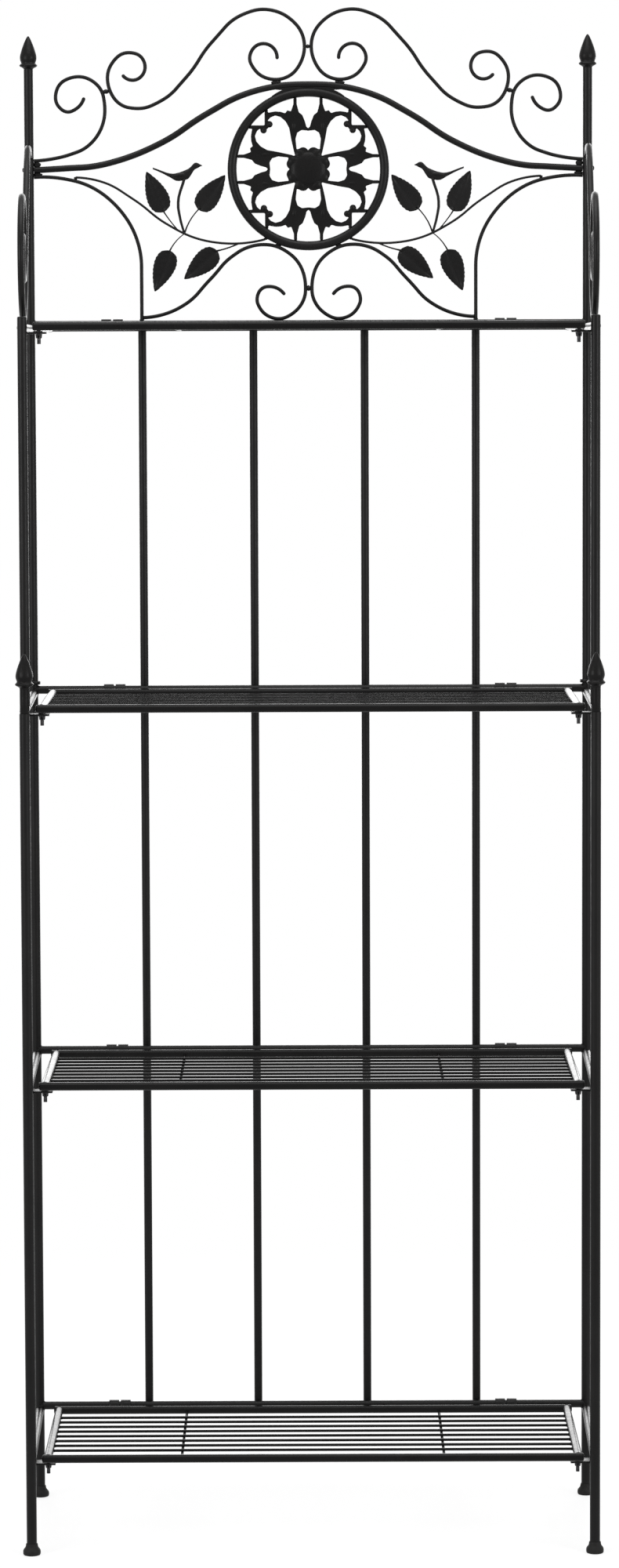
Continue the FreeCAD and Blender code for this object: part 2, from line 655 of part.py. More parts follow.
# Medallion ring under the top of the arch
ring = doc.addObject("Part::Torus", "medallion_ring")
bind(ring, Radius1="ring_diameter / 2", Radius2="ring_bar_diameter / 2")
RING_Z = "( %s + arch_apex_height - ( arch_diameter + ring_diameter + ring_bar_diameter ) / 2 - touch_gap )"
place(ring, "0", BACK_Y + " + crest_setback", RING_Z % rail_z(SHELF_COUNT), "y")
node("medallion_ring", ring)

# Corner scrolls from the posts, curled inward above the foot of the arch
corner = rod("corner_scroll", "scroll_diameter", curve(over_arch([
    (1.0, 0.123), (0.936, 0.135), (0.873, 0.176), (0.81, 0.26), (0.772, 0.377), (0.74, 0.717),
    (0.766, 1.063), (0.842, 1.212), (0.913, 1.066), (0.909, 0.835), (0.876, 0.752), (0.846, 0.782),
    (0.817, 0.909),
])))
node("corner_scroll_right", corner)
node("corner_scroll_left", mirrored("corner_scroll_left", corner))

# Top scrolls over the arch: a long double curve with a curl at each end
top = rod("top_scroll", "scroll_diameter", curve(over_arch([
    (0.672, 1.102), (0.63, 0.988), (0.599, 1.023), (0.602, 1.228), (0.657, 1.394), (0.718, 1.282), (0.722, 0.962),
    (0.683, 0.735), (0.62, 0.592), (0.524, 0.562), (0.442, 0.663), (0.349, 0.916), (0.244, 1.068),
    (0.159, 1.065), (0.072, 0.912), (0.018, 0.646), (0.021, 0.34), (0.073, 0.121), (0.12, 0.093),
    (0.19, 0.277), (0.211, 0.497), (0.169, 0.617), (0.112, 0.383),
])))
node("top_scroll_right", top)
node("top_scroll_left", mirrored("top_scroll_left", top))

# Spandrel arcs: from the post under the arch, bent down to stand on the rail over the outer bars
spandrel_points = under_arch([(1.0, 2.686), (0.92, 2.666), (0.783, 2.196), (0.698, 1.724), (0.632, 1.167)])
spandrel_points.append(crest(bar_x, 0.719 * size("branch_height")))
spandrel_edges = curve(spandrel_points, end=Vector(0, 0, -1))
spandrel_edges.append(Part.LineSegment(spandrel_points[-1], crest(bar_x, rail_top)).toShape())
spandrel = rod("spandrel_arc", "scroll_diameter", spandrel_edges)
node("spandrel_arc_right", spandrel)
node("spandrel_arc_left", mirrored("spandrel_arc_left", spandrel))

# Lower scrolls: from the spandrel leg along the rail and up under the ring, curled at the middle
low = rail_top + scroll_r * 0.8
high = ring_height - ring_outer + size("lower_scroll_tuck")
leg_face = bar_x - scroll_r - touch
hump = 0.58 * ring_outer
lower_points = [crest(hump + q * (leg_face - hump), low + w * (high - low)) for q, w in [
    (1.0, 0.02), (0.862, 0.05), (0.74, 0.117), (0.629, 0.219), (0.437, 0.532), (0.254, 0.838), (0.132, 0.955),
]]
lower_points += [crest(u * ring_outer, low + w * (high - low)) for u, w in [
    (0.58, 1.0), (0.417, 0.981), (0.271, 0.905), (0.136, 0.769), (0.044, 0.5), (0.068, 0.244), (0.156, 0.109),
    (0.394, 0.0), (0.601, 0.135), (0.641, 0.262), (0.553, 0.423), (0.478, 0.434), (0.309, 0.338),
]]
lower = rod("lower_scroll", "scroll_diameter", curve(lower_points))
node("lower_scroll_right", lower)
node("lower_scroll_left", mirrored("lower_scroll_left", lower))

# Branches from the spandrel to the first of ring and lower scroll that they meet
ring_path = Part.Wire(Part.makeCircle(size("ring_diameter") / 2, crest(0, ring_height), Vector(0, 1, 0)))
ring_bar_r = size("ring_bar_diameter") / 2


def branch_room(point):
    """The gap that a branch through a point leaves to the ring and to the lower scroll."""
    spot = Part.Vertex(point)
    to_ring = (point - crest(0, ring_height)).Length - ring_outer
    to_scroll = paths["lower_scroll"].distToShape(spot)[0] - scroll_r
    return min(to_ring, to_scroll) - branch_r - touch


branch_points = under_arch([(0.847, 2.673), (0.742, 2.434), (0.634, 1.854), (0.522, 1.4), (0.411, 1.106)])
reach = ring_outer + branch_r + touch
way_in = under_arch([(0.298, 1.0), (0.21, 1.022)])
way_in.append(crest(reach * math.sin(math.radians(32)), ring_height - reach * math.cos(math.radians(32))))
while branch_room(way_in[0]) > branch_r / 2:
    branch_points.append(way_in.pop(0))
branch_end = branch_points[-1]
ahead = (way_in[0] - branch_end).normalize() * touch
while branch_room(branch_end + ahead) > 0:
    branch_end = branch_end + ahead
branch_points.append(branch_end)
branch = rod("branch", "branch_diameter", curve(branch_points))
node("branches", group("branches", [branch, mirrored("branch_left", branch)]))


def plate(label, face, thickness):
    """A flat piece cut from sheet, in the plane of the crest."""
    flat = doc.addObject("Part::Feature", label + "_face")
    flat.Shape = face
    result = doc.addObject("Part::Extrusion", label)
    result.Base = flat
    result.DirMode = "Custom"
    result.Dir = Vector(0, 1, 0)
    result.Symmetric = True
    bind(result, LengthFwd=thickness)
    return result


def polygon(points):
    """A flat face inside a closed outline, always with the same side to the front."""
    face = Part.Face(Part.makePolygon(list(points) + [points[0]]))
    if face.normalAt(0, 0).y > 0:
        face = Part.Face(Part.makePolygon(list(points)[::-1] + [points[-1]]))
    return face


def on_branch(share_across, level):
    """The spot of the branch nearest to a point below the arch."""
    aim = under_arch([(share_across, level)])[0]
    return paths["branch"].distToShape(Part.Vertex(aim))[1][0][0]


def off_branch(spot, toward, width):
    """The first spot clear of the branch for the end of a stalk that runs toward a point."""
    way = (toward - spot).normalize()
    half = Vector(way.z, 0, -way.x) * (width / 2)
    while Part.makeLine(spot - half, spot + half).distToShape(paths["branch"])[0] < branch_r + touch:
        spot = spot + way * touch
    return spot


def heading(degrees):
    """A direction in the plane of the crest, counted from straight outward."""
    return Vector(math.cos(math.radians(degrees)), 0, math.sin(math.radians(degrees)))


# Leaves: toothed blades with their stalks, cut in one piece from sheet
HALF_LEAF = [
    (0.03, 0.1), (0.1, 0.4), (0.14, 0.35), (0.27, 0.5), (0.31, 0.44), (0.45, 0.48), (0.49, 0.4),
    (0.62, 0.38), (0.66, 0.3), (0.79, 0.24), (0.83, 0.17),
]
LEAVES = [
    ((0.474, 1.267), (0.527, 1.621), 66.6),
    ((0.452, 1.206), (0.505, 0.912), -68.9),
    ((0.428, 1.146), (0.4, 1.657), 127.6),
    ((0.254, 1.0), (0.334, 0.912), -40.5),
]


def leaf_face(foot_point, base, degrees):
    """The outline of a leaf: a stalk from the branch to the base, and a blade at an angle."""
    along = heading(degrees)
    aside = Vector(along.z, 0, -along.x)
    lean = (base - foot_point).normalize()
    half_stalk = Vector(lean.z, 0, -lean.x) * (size("stalk_width") / 2)
    spine = [base + along * (s * size("leaf_length")) for s, w in HALF_LEAF]
    width = [aside * (w * size("leaf_width")) for s, w in HALF_LEAF]
    outline = [foot_point + half_stalk] + [p + w for p, w in zip(spine, width)]
    outline.append(base + along * size("leaf_length"))
    outline += [p - w for p, w in zip(spine, width)][::-1] + [foot_point - half_stalk]
    return polygon(outline)


leaves = []
for spot_share, base_share, blade_turn in LEAVES:
    base = under_arch([base_share])[0]
    foot_point = off_branch(on_branch(spot_share[0], spot_share[1]), base, size("stalk_width"))
    while leaf_face(foot_point, base, blade_turn).distToShape(ring_path)[0] < ring_bar_r + size("leaf_gap"):
        blade_turn -= 1
    leaf = plate("leaf", leaf_face(foot_point, base, blade_turn), "leaf_thickness")
    leaves += [leaf, mirrored("leaf_left", leaf)]
node("leaves", group("leaves", leaves))

# Birds: cut from sheet with the stem that carries them, as shares of the bird's length from the stem's bend
BIRD = [
    (0.523, 0.916), (0.163, 0.781), (0.028, 0.831), (-0.18, 0.885), (-0.303, 0.986), (-0.393, 1.005),
    (-0.477, 0.957), (-0.399, 0.91), (-0.264, 0.793), (-0.157, 0.651), (-0.045, 0.639), (0.09, 0.683),
    (0.27, 0.755), (0.523, 0.875),
]
STEM = [(-0.112, 0.702), (-0.017, 0.421), (0.028, 0.197), (0.011, -0.024)]
bend_point = under_arch([(0.47, 1.62)])[0]
body_points = [bend_point + Vector(u, 0, v) * size("bird_length") for u, v in BIRD]
stem_points = [bend_point + Vector(u, 0, v) * size("bird_length") for u, v in STEM]
stem_points.append(off_branch(on_branch(0.452, 1.206), stem_points[-1], size("stem_width")))
stem_side = [way.cross(Vector(0, 1, 0)) * (size("stem_width") / 2) for way in tangents(stem_points)]
stem_edge = [p + s for p, s in zip(stem_points, stem_side)]
stem_edge += [p - s for p, s in zip(stem_points, stem_side)][::-1]
bird = plate("bird", polygon(body_points).fuse(polygon(stem_edge)).removeSplitter(), "leaf_thickness")
node("birds", group("birds", [bird, mirrored("bird_left", bird)]))

# Rosette: a cast openwork flower of four pairs of curled arms round a lobed boss
ARM = [
    (-0.17, 0.15), (-0.198, 0.235), (-0.235, 0.4), (-0.266, 0.57), (-0.315, 0.66), (-0.385, 0.722),
    (-0.46, 0.742), (-0.525, 0.715), (-0.565, 0.67), (-0.605, 0.7), (-0.585, 0.775), (-0.52, 0.79), (-0.457, 0.8),
    (-0.385, 0.795), (-0.32, 0.775), (-0.29, 0.815), (-0.24, 0.8), (-0.205, 0.9), (-0.205, 1.01), (-0.158, 1.01),
    (-0.158, 0.9), (-0.128, 0.787), (-0.08, 0.75), (-0.045, 0.665), (-0.025, 0.59), (0.0, 0.565),
    (0.0, 0.53), (-0.09, 0.54), (-0.15, 0.505), (-0.176, 0.42), (-0.16, 0.27), (-0.12, 0.15),
]
STRUT = [(-0.56, 0.88), (-0.608, 0.88), (-0.608, 0.56), (-0.56, 0.56)]


def rosette_point(across, up):
    return crest(across * ring_inner, ring_height + up * ring_inner)


def round_face(radius, across=0, up=0):
    circle = Part.makeCircle(radius * ring_inner, rosette_point(across, up), Vector(0, 1, 0))
    return Part.Face(Part.Wire(circle))


arm = polygon([rosette_point(u, v) for u, v in ARM])
strut = polygon([rosette_point(u, v) for u, v in STRUT])
ball = round_face(0.046, -0.54, 0.622)
lobe = round_face(0.08, -0.235 * math.sin(math.radians(18)), 0.235 * math.cos(math.radians(18)))
quarter = [arm, strut, ball, lobe]
middle = rosette_point(0, 0)
for piece in list(quarter):
    quarter.append(piece.mirror(middle, Vector(1, 0, 0)))
faces = []
for turn in range(4):
    for piece in quarter:
        copy = piece.copy()
        copy.rotate(middle, Vector(0, 1, 0), 90 * turn)
        faces.append(copy)
flower = round_face(0.245).multiFuse(faces).removeSplitter()
flower = flower.common(round_face((ring_inner - touch) / ring_inner)).removeSplitter()
node("medallion_rosette", plate("medallion_rosette", flower, "rosette_thickness"))


def tie(first, first_r, second, second_r):
    """A short weld tie across the narrowest gap between two rods."""
    here, there = first.distToShape(second)[1][0][:2]
    way = (there - here).normalize()
    length = (there - here).Length - first_r - second_r - 2 * touch
    if length < 0.2:
        return None
    piece = doc.addObject("Part::Cylinder", "tie")
    bind(piece, Radius="tie_diameter / 2")
    piece.Height = length
    piece.Placement = Placement(here + way * (first_r + touch), Rotation(Vector(0, 0, 1), way))
    return piece


# Weld ties where neighbouring rods of the crest come close
ties = []
pairs = [
    tie(paths["corner_scroll"], scroll_r, paths["top_scroll"], scroll_r),
    tie(paths["top_scroll"], scroll_r, paths["crest_arch"], arch_r),
    tie(paths["lower_scroll"], scroll_r, ring_path, ring_bar_r),
    tie(paths["branch"], branch_r, paths["spandrel_arc"], scroll_r),
]
for piece in pairs:
    if piece:
        ties += [piece, mirrored("tie_left", piece)]
for name in ("top_scroll", "lower_scroll"):
    other = paths[name].mirror(Vector(0, 0, 0), Vector(1, 0, 0))
    piece = tie(paths[name], scroll_r, other, scroll_r)
    if piece:
        ties.append(piece)
node("weld_ties", group("weld_ties", ties))

# Panel screws through the back posts at the feet of the arch
screw = cylinder("panel_screw", "screw_head_diameter", "screw_head_height", "x",
                 BACK_X + " + back_post_diameter / 2 + touch_gap", BACK_Y,
                 rail_z(SHELF_COUNT) + " + arch_foot_height")
node("panel_screws", group("panel_screws", [screw, mirrored("panel_screw_left", screw)]))

# Side scrolls: from the back post forward and down, curled over the top rung
SIDE_BASE = "( %s - rung_drop + ( rail_diameter + side_scroll_diameter ) / 2 + touch_gap )" % shelf_z(SHELF_COUNT)
side_base = value_of(SIDE_BASE)
side_rise = value_of("%s + side_scroll_height - %s" % (shelf_z(SHELF_COUNT), SIDE_BASE))
side_back = value_of(BACK_Y)
side_points = [side_point(side_back - s * size("post_depth"), side_base + h * side_rise) for s, h in [
    (0.0, 0.935), (0.11, 1.0), (0.23, 0.925), (0.35, 0.745), (0.45, 0.53), (0.55, 0.29), (0.65, 0.085), (0.765, 0.0),
    (0.88, 0.07), (0.965, 0.235), (0.98, 0.42), (0.915, 0.605), (0.8, 0.69), (0.69, 0.62), (0.63, 0.47),
    (0.65, 0.31), (0.735, 0.225), (0.825, 0.285), (0.84, 0.4), (0.78, 0.47),
]]
side_scroll = cut("side_scroll_coped", rod("side_scroll", "side_scroll_diameter", curve(side_points)), back_cope)
node("side_scroll_right", side_scroll)
node("side_scroll_left", mirrored("side_scroll_left", side_scroll))

doc.recompute()

# Every piece is sound before its file is written
for thing in doc.Objects:
    if "Invalid" in thing.State or "Error" in thing.State:
        raise RuntimeError("%s did not build: %s" % (thing.Label, thing.State))
os.makedirs("parts", exist_ok=True)
for label, thing in nodes.items():
    if thing.Shape.isNull() or not thing.Shape.isValid() or not thing.Shape.Solids:
        raise RuntimeError("%s has no sound shape" % label)
    thing.Shape.exportStep("parts/%s.step" % label)
print("pieces written:", len(nodes))
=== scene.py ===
import json
import math

import bpy
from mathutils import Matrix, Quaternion, Vector

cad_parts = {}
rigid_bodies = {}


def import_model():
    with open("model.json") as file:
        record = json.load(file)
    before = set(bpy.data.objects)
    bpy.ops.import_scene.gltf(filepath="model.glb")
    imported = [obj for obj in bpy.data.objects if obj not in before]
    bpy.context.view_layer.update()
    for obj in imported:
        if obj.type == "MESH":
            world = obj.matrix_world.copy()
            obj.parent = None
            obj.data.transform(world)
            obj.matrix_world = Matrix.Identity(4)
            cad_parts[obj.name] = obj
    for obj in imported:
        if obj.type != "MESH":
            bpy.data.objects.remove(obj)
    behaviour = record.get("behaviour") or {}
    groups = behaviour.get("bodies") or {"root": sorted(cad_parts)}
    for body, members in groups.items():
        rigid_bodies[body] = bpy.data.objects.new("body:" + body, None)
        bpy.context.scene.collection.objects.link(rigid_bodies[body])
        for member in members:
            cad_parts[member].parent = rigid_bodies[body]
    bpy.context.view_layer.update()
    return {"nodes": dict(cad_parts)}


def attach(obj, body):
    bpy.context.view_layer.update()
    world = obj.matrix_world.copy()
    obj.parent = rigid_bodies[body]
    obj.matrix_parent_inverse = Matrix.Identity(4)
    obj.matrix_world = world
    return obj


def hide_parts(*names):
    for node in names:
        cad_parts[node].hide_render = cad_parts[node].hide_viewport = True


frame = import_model()
bpy.ops.object.select_all(action="DESELECT")

# Back posts: two lengths of thin steel tube on each side, standing one on the other.
# They are welded up with the rest of the frame and then powder coated satin black,
# so the coat has a fine peel, slightly uneven gloss and a little dust in it.
MM = 0.001
PEEL_DEPTH = 0.3
DEEP_BLACK = (0.0034, 0.0032, 0.0032, 1)
DUSTY_BLACK = (0.0058, 0.0055, 0.0054, 1)
coat = bpy.data.node_groups.new("powder_coat", "ShaderNodeTree")
coat.interface.new_socket("Position", in_out="INPUT", socket_type="NodeSocketVector")
for socket in ("Grain per metre", "Smoothest", "Roughest"):
    coat.interface.new_socket(socket, in_out="INPUT", socket_type="NodeSocketFloat")
for socket in ("Dust", "Gloss loss", "Peel"):
    coat.interface.new_socket(socket, in_out="OUTPUT", socket_type="NodeSocketFloat")
entry = coat.nodes.new("NodeGroupInput")
leave = coat.nodes.new("NodeGroupOutput")
peel = coat.nodes.new("ShaderNodeTexNoise")
peel.inputs["Detail"].default_value = 2.0
coat.links.new(entry.outputs["Position"], peel.inputs["Vector"])
coat.links.new(entry.outputs["Grain per metre"], peel.inputs["Scale"])
coat.links.new(peel.outputs["Fac"], leave.inputs["Peel"])
cloud = coat.nodes.new("ShaderNodeTexNoise")
cloud.inputs["Scale"].default_value = 18.0
cloud.inputs["Detail"].default_value = 5.0
coat.links.new(entry.outputs["Position"], cloud.inputs["Vector"])
dust = coat.nodes.new("ShaderNodeMapRange")
dust.inputs["From Min"].default_value = 0.42
dust.inputs["From Max"].default_value = 0.72
coat.links.new(cloud.outputs["Fac"], dust.inputs["Value"])
coat.links.new(dust.outputs["Result"], leave.inputs["Dust"])
rub = coat.nodes.new("ShaderNodeTexNoise")
rub.inputs["Scale"].default_value = 140.0
rub.inputs["Detail"].default_value = 3.0
coat.links.new(entry.outputs["Position"], rub.inputs["Vector"])
loss = coat.nodes.new("ShaderNodeMapRange")
loss.inputs["From Min"].default_value = 0.3
loss.inputs["From Max"].default_value = 0.7
coat.links.new(rub.outputs["Fac"], loss.inputs["Value"])
coat.links.new(entry.outputs["Smoothest"], loss.inputs["To Min"])
coat.links.new(entry.outputs["Roughest"], loss.inputs["To Max"])
coat.links.new(loss.outputs["Result"], leave.inputs["Gloss loss"])


def coated(name, deep, dusty, smoothest, roughest, grain, bump, shine):
    """A finish: its own colour, a dustier tone in patches, uneven gloss and a fine peel."""
    finish = bpy.data.materials.new(name)
    finish.use_nodes = True
    tree = finish.node_tree
    shader = tree.nodes["Principled BSDF"]
    shader.inputs["Specular IOR Level"].default_value = shine
    place = tree.nodes.new("ShaderNodeTexCoord")
    skin = tree.nodes.new("ShaderNodeGroup")
    skin.node_tree = coat
    skin.inputs["Grain per metre"].default_value = grain
    skin.inputs["Smoothest"].default_value = smoothest
    skin.inputs["Roughest"].default_value = roughest
    tree.links.new(place.outputs["Object"], skin.inputs["Position"])
    tone = tree.nodes.new("ShaderNodeMix")
    tone.data_type = "RGBA"
    tone.inputs["A"].default_value = deep
    tone.inputs["B"].default_value = dusty
    tree.links.new(skin.outputs["Dust"], tone.inputs["Factor"])
    tree.links.new(tone.outputs["Result"], shader.inputs["Base Color"])
    tree.links.new(skin.outputs["Gloss loss"], shader.inputs["Roughness"])
    ripple = tree.nodes.new("ShaderNodeBump")
    ripple.inputs["Strength"].default_value = bump
    ripple.inputs["Distance"].default_value = PEEL_DEPTH * MM
    tree.links.new(skin.outputs["Peel"], ripple.inputs["Height"])
    tree.links.new(ripple.outputs["Normal"], shader.inputs["Normal"])
    return finish


def paint_nodes(finish, *names):
    """Puts a finish on solids that are shown as they are."""
    for name in names:
        frame["nodes"][name].data.materials.clear()
        frame["nodes"][name].data.materials.append(finish)


satin_black = coated(
    "satin_black", DEEP_BLACK, DUSTY_BLACK, smoothest=0.3, roughest=0.42, grain=900, bump=0.06, shine=0.15
)
paint_nodes(satin_black, "back_post_lower_left", "back_post_lower_right")
paint_nodes(satin_black, "back_post_upper_left", "back_post_upper_right")

# Post collars: a turned steel ring between the lower and the upper back post.
# The joint of the tubes sits in it, and it is painted with the frame.
COLLAR_SEAT = 920
COLLAR_OUTLINE = (
    (5.0, 0.05), (6.9, 0.05), (7.45, 0.35), (7.7, 0.95), (7.7, 3.05), (7.45, 3.65), (6.9, 3.95), (5.0, 3.95),
)
BACK_X = 308.5
BACK_Y = 134


def turned(name, outline, sides):
    """A lathe-turned form on the upright axis: a disc drawn up ring by ring."""
    bpy.ops.object.select_all(action="DESELECT")
    bpy.ops.mesh.primitive_circle_add(
        vertices=sides, radius=outline[0][0] * MM, fill_type="NGON", location=(0, 0, 0)
    )
    piece = bpy.context.object
    piece.name = name
    piece.data.name = name
    bpy.ops.object.mode_set(mode="EDIT")
    bpy.ops.mesh.select_all(action="SELECT")
    bpy.ops.transform.translate(value=(0, 0, outline[0][1] * MM))
    for (wide, low), (next_wide, high) in zip(outline, outline[1:]):
        bpy.ops.mesh.extrude_region_move(TRANSFORM_OT_translate={"value": (0, 0, (high - low) * MM)})
        share = next_wide / wide
        bpy.ops.transform.resize(value=(share, share, 1), center_override=(0, 0, high * MM))
    bpy.ops.mesh.select_all(action="SELECT")
    bpy.ops.mesh.normals_make_consistent(inside=False)
    bpy.ops.object.mode_set(mode="OBJECT")
    bpy.ops.object.shade_smooth_by_angle(angle=math.radians(40))
    return piece


def take(piece):
    """Makes a piece the only one that is selected."""
    bpy.ops.object.select_all(action="DESELECT")
    piece.select_set(True)
    bpy.context.view_layer.objects.active = piece


def settle(piece, spot, turn=(0, 0, 0)):
    """Turns a piece, carries it to its place in millimetres and writes that into its mesh."""
    take(piece)
    piece.rotation_euler = turn
    piece.location = Vector(spot) * MM
    bpy.ops.object.transform_apply(location=True, rotation=True, scale=True)
    return piece


def copy_of(piece, name):
    """Another piece of the same shape, with its own mesh."""
    take(piece)
    bpy.ops.object.duplicate(linked=False)
    copy = bpy.context.object
    copy.name = name
    copy.data.name = name
    return copy


def fit(piece, finish, body, slot, *stands_for):
    """Gives a finished piece its finish and its body, and hides the solids that it stands for; the slot is
    not used.
    """
    piece.data.materials.clear()
    piece.data.materials.append(finish)
    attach(piece, body)
    if stands_for:
        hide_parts(*stands_for)


def fit_pair(right, left_name, spot, finish, node):
    """Sets a piece on the right and a copy of it on the left, and fits both to the frame."""
    across, along, height = spot
    left = copy_of(right, left_name)
    settle(right, (across, along, height))
    settle(left, (-across, along, height))
    for piece in (right, left):
        fit(piece, finish, "rack_frame", "black_paint", node)


collar = turned("collar_right", COLLAR_OUTLINE, sides=40)
fit_pair(collar, "collar_left", (BACK_X, BACK_Y, COLLAR_SEAT), satin_black, "post_collars")

# Spear finials: cast iron buds, one on top of each back post and one on each front post.
# A flared lip sits over the tube, and the front ones have a stem that lifts them off it.
# The casting's parting line runs up both sides.
SPEAR_OUTLINE = (
    (5.1, 0.1), (5.3, 0.7), (6.5, 1.5), (8.1, 2.35), (9.3, 3.1), (9.9, 3.9), (9.95, 4.5), (9.6, 5.2),
    (8.9, 5.8), (8.2, 6.4), (7.95, 7.1), (8.2, 8.1), (8.8, 9.5), (9.2, 11.0), (9.36, 12.6), (9.2, 14.6),
    (8.75, 16.8), (8.1, 19.2), (7.3, 21.8), (6.35, 24.5), (5.3, 27.3), (4.2, 30.0), (3.15, 32.3), (2.2, 34.2),
    (1.4, 35.5), (0.75, 36.2), (0.25, 36.45),
)
STEM_OUTLINE = ((4.85, -27.0), (5.0, -26.6), (5.0, -13.0), (5.0, -1.2))
BACK_TOP = 1599.52
FRONT_X = 303
FRONT_Y = -138
FRONT_SEAT = 934.02
SEAM_FROM = 6.8
SEAM_TO = 34.5
SEAM_SWELL = 1.022
SAME_PLACE = 0.01
CAST_DEEP = (0.0036, 0.0034, 0.0034, 1)
CAST_DUSTY = (0.0064, 0.006, 0.0058, 1)
cast_black = coated(
    "cast_black", CAST_DEEP, CAST_DUSTY, smoothest=0.26, roughest=0.4, grain=420, bump=0.4, shine=0.11
)


def pick(piece, wanted):
    """Opens the active piece in edit mode with only those corners selected that a test wants."""
    bpy.ops.object.mode_set(mode="EDIT")
    bpy.ops.mesh.select_all(action="DESELECT")
    bpy.ops.object.mode_set(mode="OBJECT")
    for corner in piece.data.vertices:
        corner.select = wanted(corner)
    bpy.ops.object.mode_set(mode="EDIT")


def on_seam(corner):
    """Whether a corner of a casting lies on its parting line."""
    return abs(corner.co.x) < SAME_PLACE * MM and SEAM_FROM * MM < corner.co.z < SEAM_TO * MM


def cast_spear(name, outline):
    """A turned spear with a thin ridge up each side."""
    casting = turned(name, outline, sides=48)
    pick(casting, on_seam)
    bpy.ops.transform.resize(value=(SEAM_SWELL, SEAM_SWELL, 1), center_override=(0, 0, 0))
    bpy.ops.object.mode_set(mode="OBJECT")
    return casting


spear = cast_spear("back_finial_right", SPEAR_OUTLINE)
fit_pair(spear, "back_finial_left", (BACK_X, BACK_Y, BACK_TOP), cast_black, "back_finials")
stemmed = cast_spear("front_finial_right", STEM_OUTLINE + SPEAR_OUTLINE)
fit_pair(stemmed, "front_finial_left", (FRONT_X, FRONT_Y, FRONT_SEAT), cast_black, "front_finials")

# Feet: moulded rubber cups pushed on the ends of the four lower posts.
# The sleeve grips the tube, and below it the cup swells to a rounded base with a flat sole.
SOLE = 0.02
FOOT_BASE = ((7.9, 0.0), (8.75, 0.3), (9.25, 0.9), (9.45, 1.8), (9.5, 3.0), (9.45, 4.2))
BACK_FOOT_OUTLINE = FOOT_BASE + (
    (9.2, 5.3), (8.7, 6.2), (8.0, 7.0), (7.25, 7.8), (6.65, 8.7), (6.25, 9.8), (6.05, 11.2), (5.9, 12.0),
    (5.65, 12.45), (5.35, 12.4), (5.15, 12.0), (5.15, 2.95), (0.6, 2.95),
)
FRONT_FOOT_OUTLINE = FOOT_BASE + (
    (9.25, 5.3), (8.8, 6.2), (8.2, 7.0), (7.5, 7.8), (6.95, 8.7), (6.6, 9.8), (6.45, 11.2), (6.3, 12.0),
    (6.05, 12.45), (5.75, 12.4), (5.55, 12.0), (5.55, 2.95), (0.6, 2.95),
)
RUBBER_DEEP = (0.0065, 0.0063, 0.0062, 1)
RUBBER_DUSTY = (0.011, 0.0105, 0.01, 1)
rubber = coated(
    "foot_rubber", RUBBER_DEEP, RUBBER_DUSTY, smoothest=0.5, roughest=0.68, grain=1400, bump=0.4, shine=0.16
)
for name, outline, across, along in (
    ("back_foot", BACK_FOOT_OUTLINE, BACK_X, BACK_Y),
    ("front_foot", FRONT_FOOT_OUTLINE, FRONT_X, FRONT_Y),
):
    foot = turned(name + "_right", outline, sides=40)
    fit_pair(foot, name + "_left", (across, along, SOLE), rubber, "feet")

# Cross rails: four steel tubes between the back posts, one behind each shelf.
# Their ends are coped to the posts and welded all round, and the weld shows as a small fillet.
RAIL_HEIGHTS = (104, 509, 914, 1319)
RAIL_R = 4.5
POST_R = 5.1
BEAD = 0.75
WELD_SECTORS = 24
WELD_LIFT = 0.1
SECTOR_REACH = 0.05
paint_nodes(satin_black, *["cross_rail_%d" % number for number in (1, 2, 3, 4)])


def joined(name, pieces):
    """Makes one piece of several."""
    bpy.ops.object.select_all(action="DESELECT")
    for piece in pieces:
        piece.select_set(True)
    bpy.context.view_layer.objects.active = pieces[0]
    bpy.ops.object.join()
    whole = bpy.context.object
    whole.name = name
    whole.data.name = name
    return whole


def apart(one, other):
    """The angle between two directions, whichever way round."""
    return abs(math.remainder(one - other, 2 * math.pi))


def saddle_weld(name, rail_r, post_r):
    """A weld round the end of a tube lying along x, against an upright round on the origin's axis."""
    ring_r = rail_r + WELD_LIFT
    bpy.ops.object.select_all(action="DESELECT")
    bpy.ops.mesh.primitive_torus_add(
        major_radius=ring_r * MM,
        minor_radius=BEAD * MM,
        major_segments=WELD_SECTORS,
        minor_segments=6,
        location=(-post_r * MM, 0, 0),
        rotation=(0, math.pi / 2, 0),
    )
    weld = bpy.context.object
    weld.name = name
    bpy.ops.object.transform_apply(location=True, rotation=True, scale=True)
    for sector in range(WELD_SECTORS):
        angle = sector * 2 * math.pi / WELD_SECTORS
        depth = post_r - math.sqrt(post_r ** 2 - (math.sin(angle) * ring_r) ** 2)
        pick(weld, lambda corner: apart(math.atan2(corner.co.y, corner.co.z), angle) < SECTOR_REACH)
        bpy.ops.transform.translate(value=(depth * MM, 0, 0))
    bpy.ops.object.mode_set(mode="OBJECT")
    bpy.ops.object.shade_smooth()
    return weld


rail_weld = saddle_weld("rail_weld", RAIL_R, POST_R)
rail_welds = []
for height in RAIL_HEIGHTS:
    for side in (1, -1):
        weld = copy_of(rail_weld, "rail_weld_copy")
        turn = 0 if side > 0 else math.pi
        rail_welds.append(settle(weld, (side * BACK_X, BACK_Y, height), (0, 0, turn)))
fit(joined("cross_rail_welds", rail_welds), satin_black, "rack_frame", "black_paint")

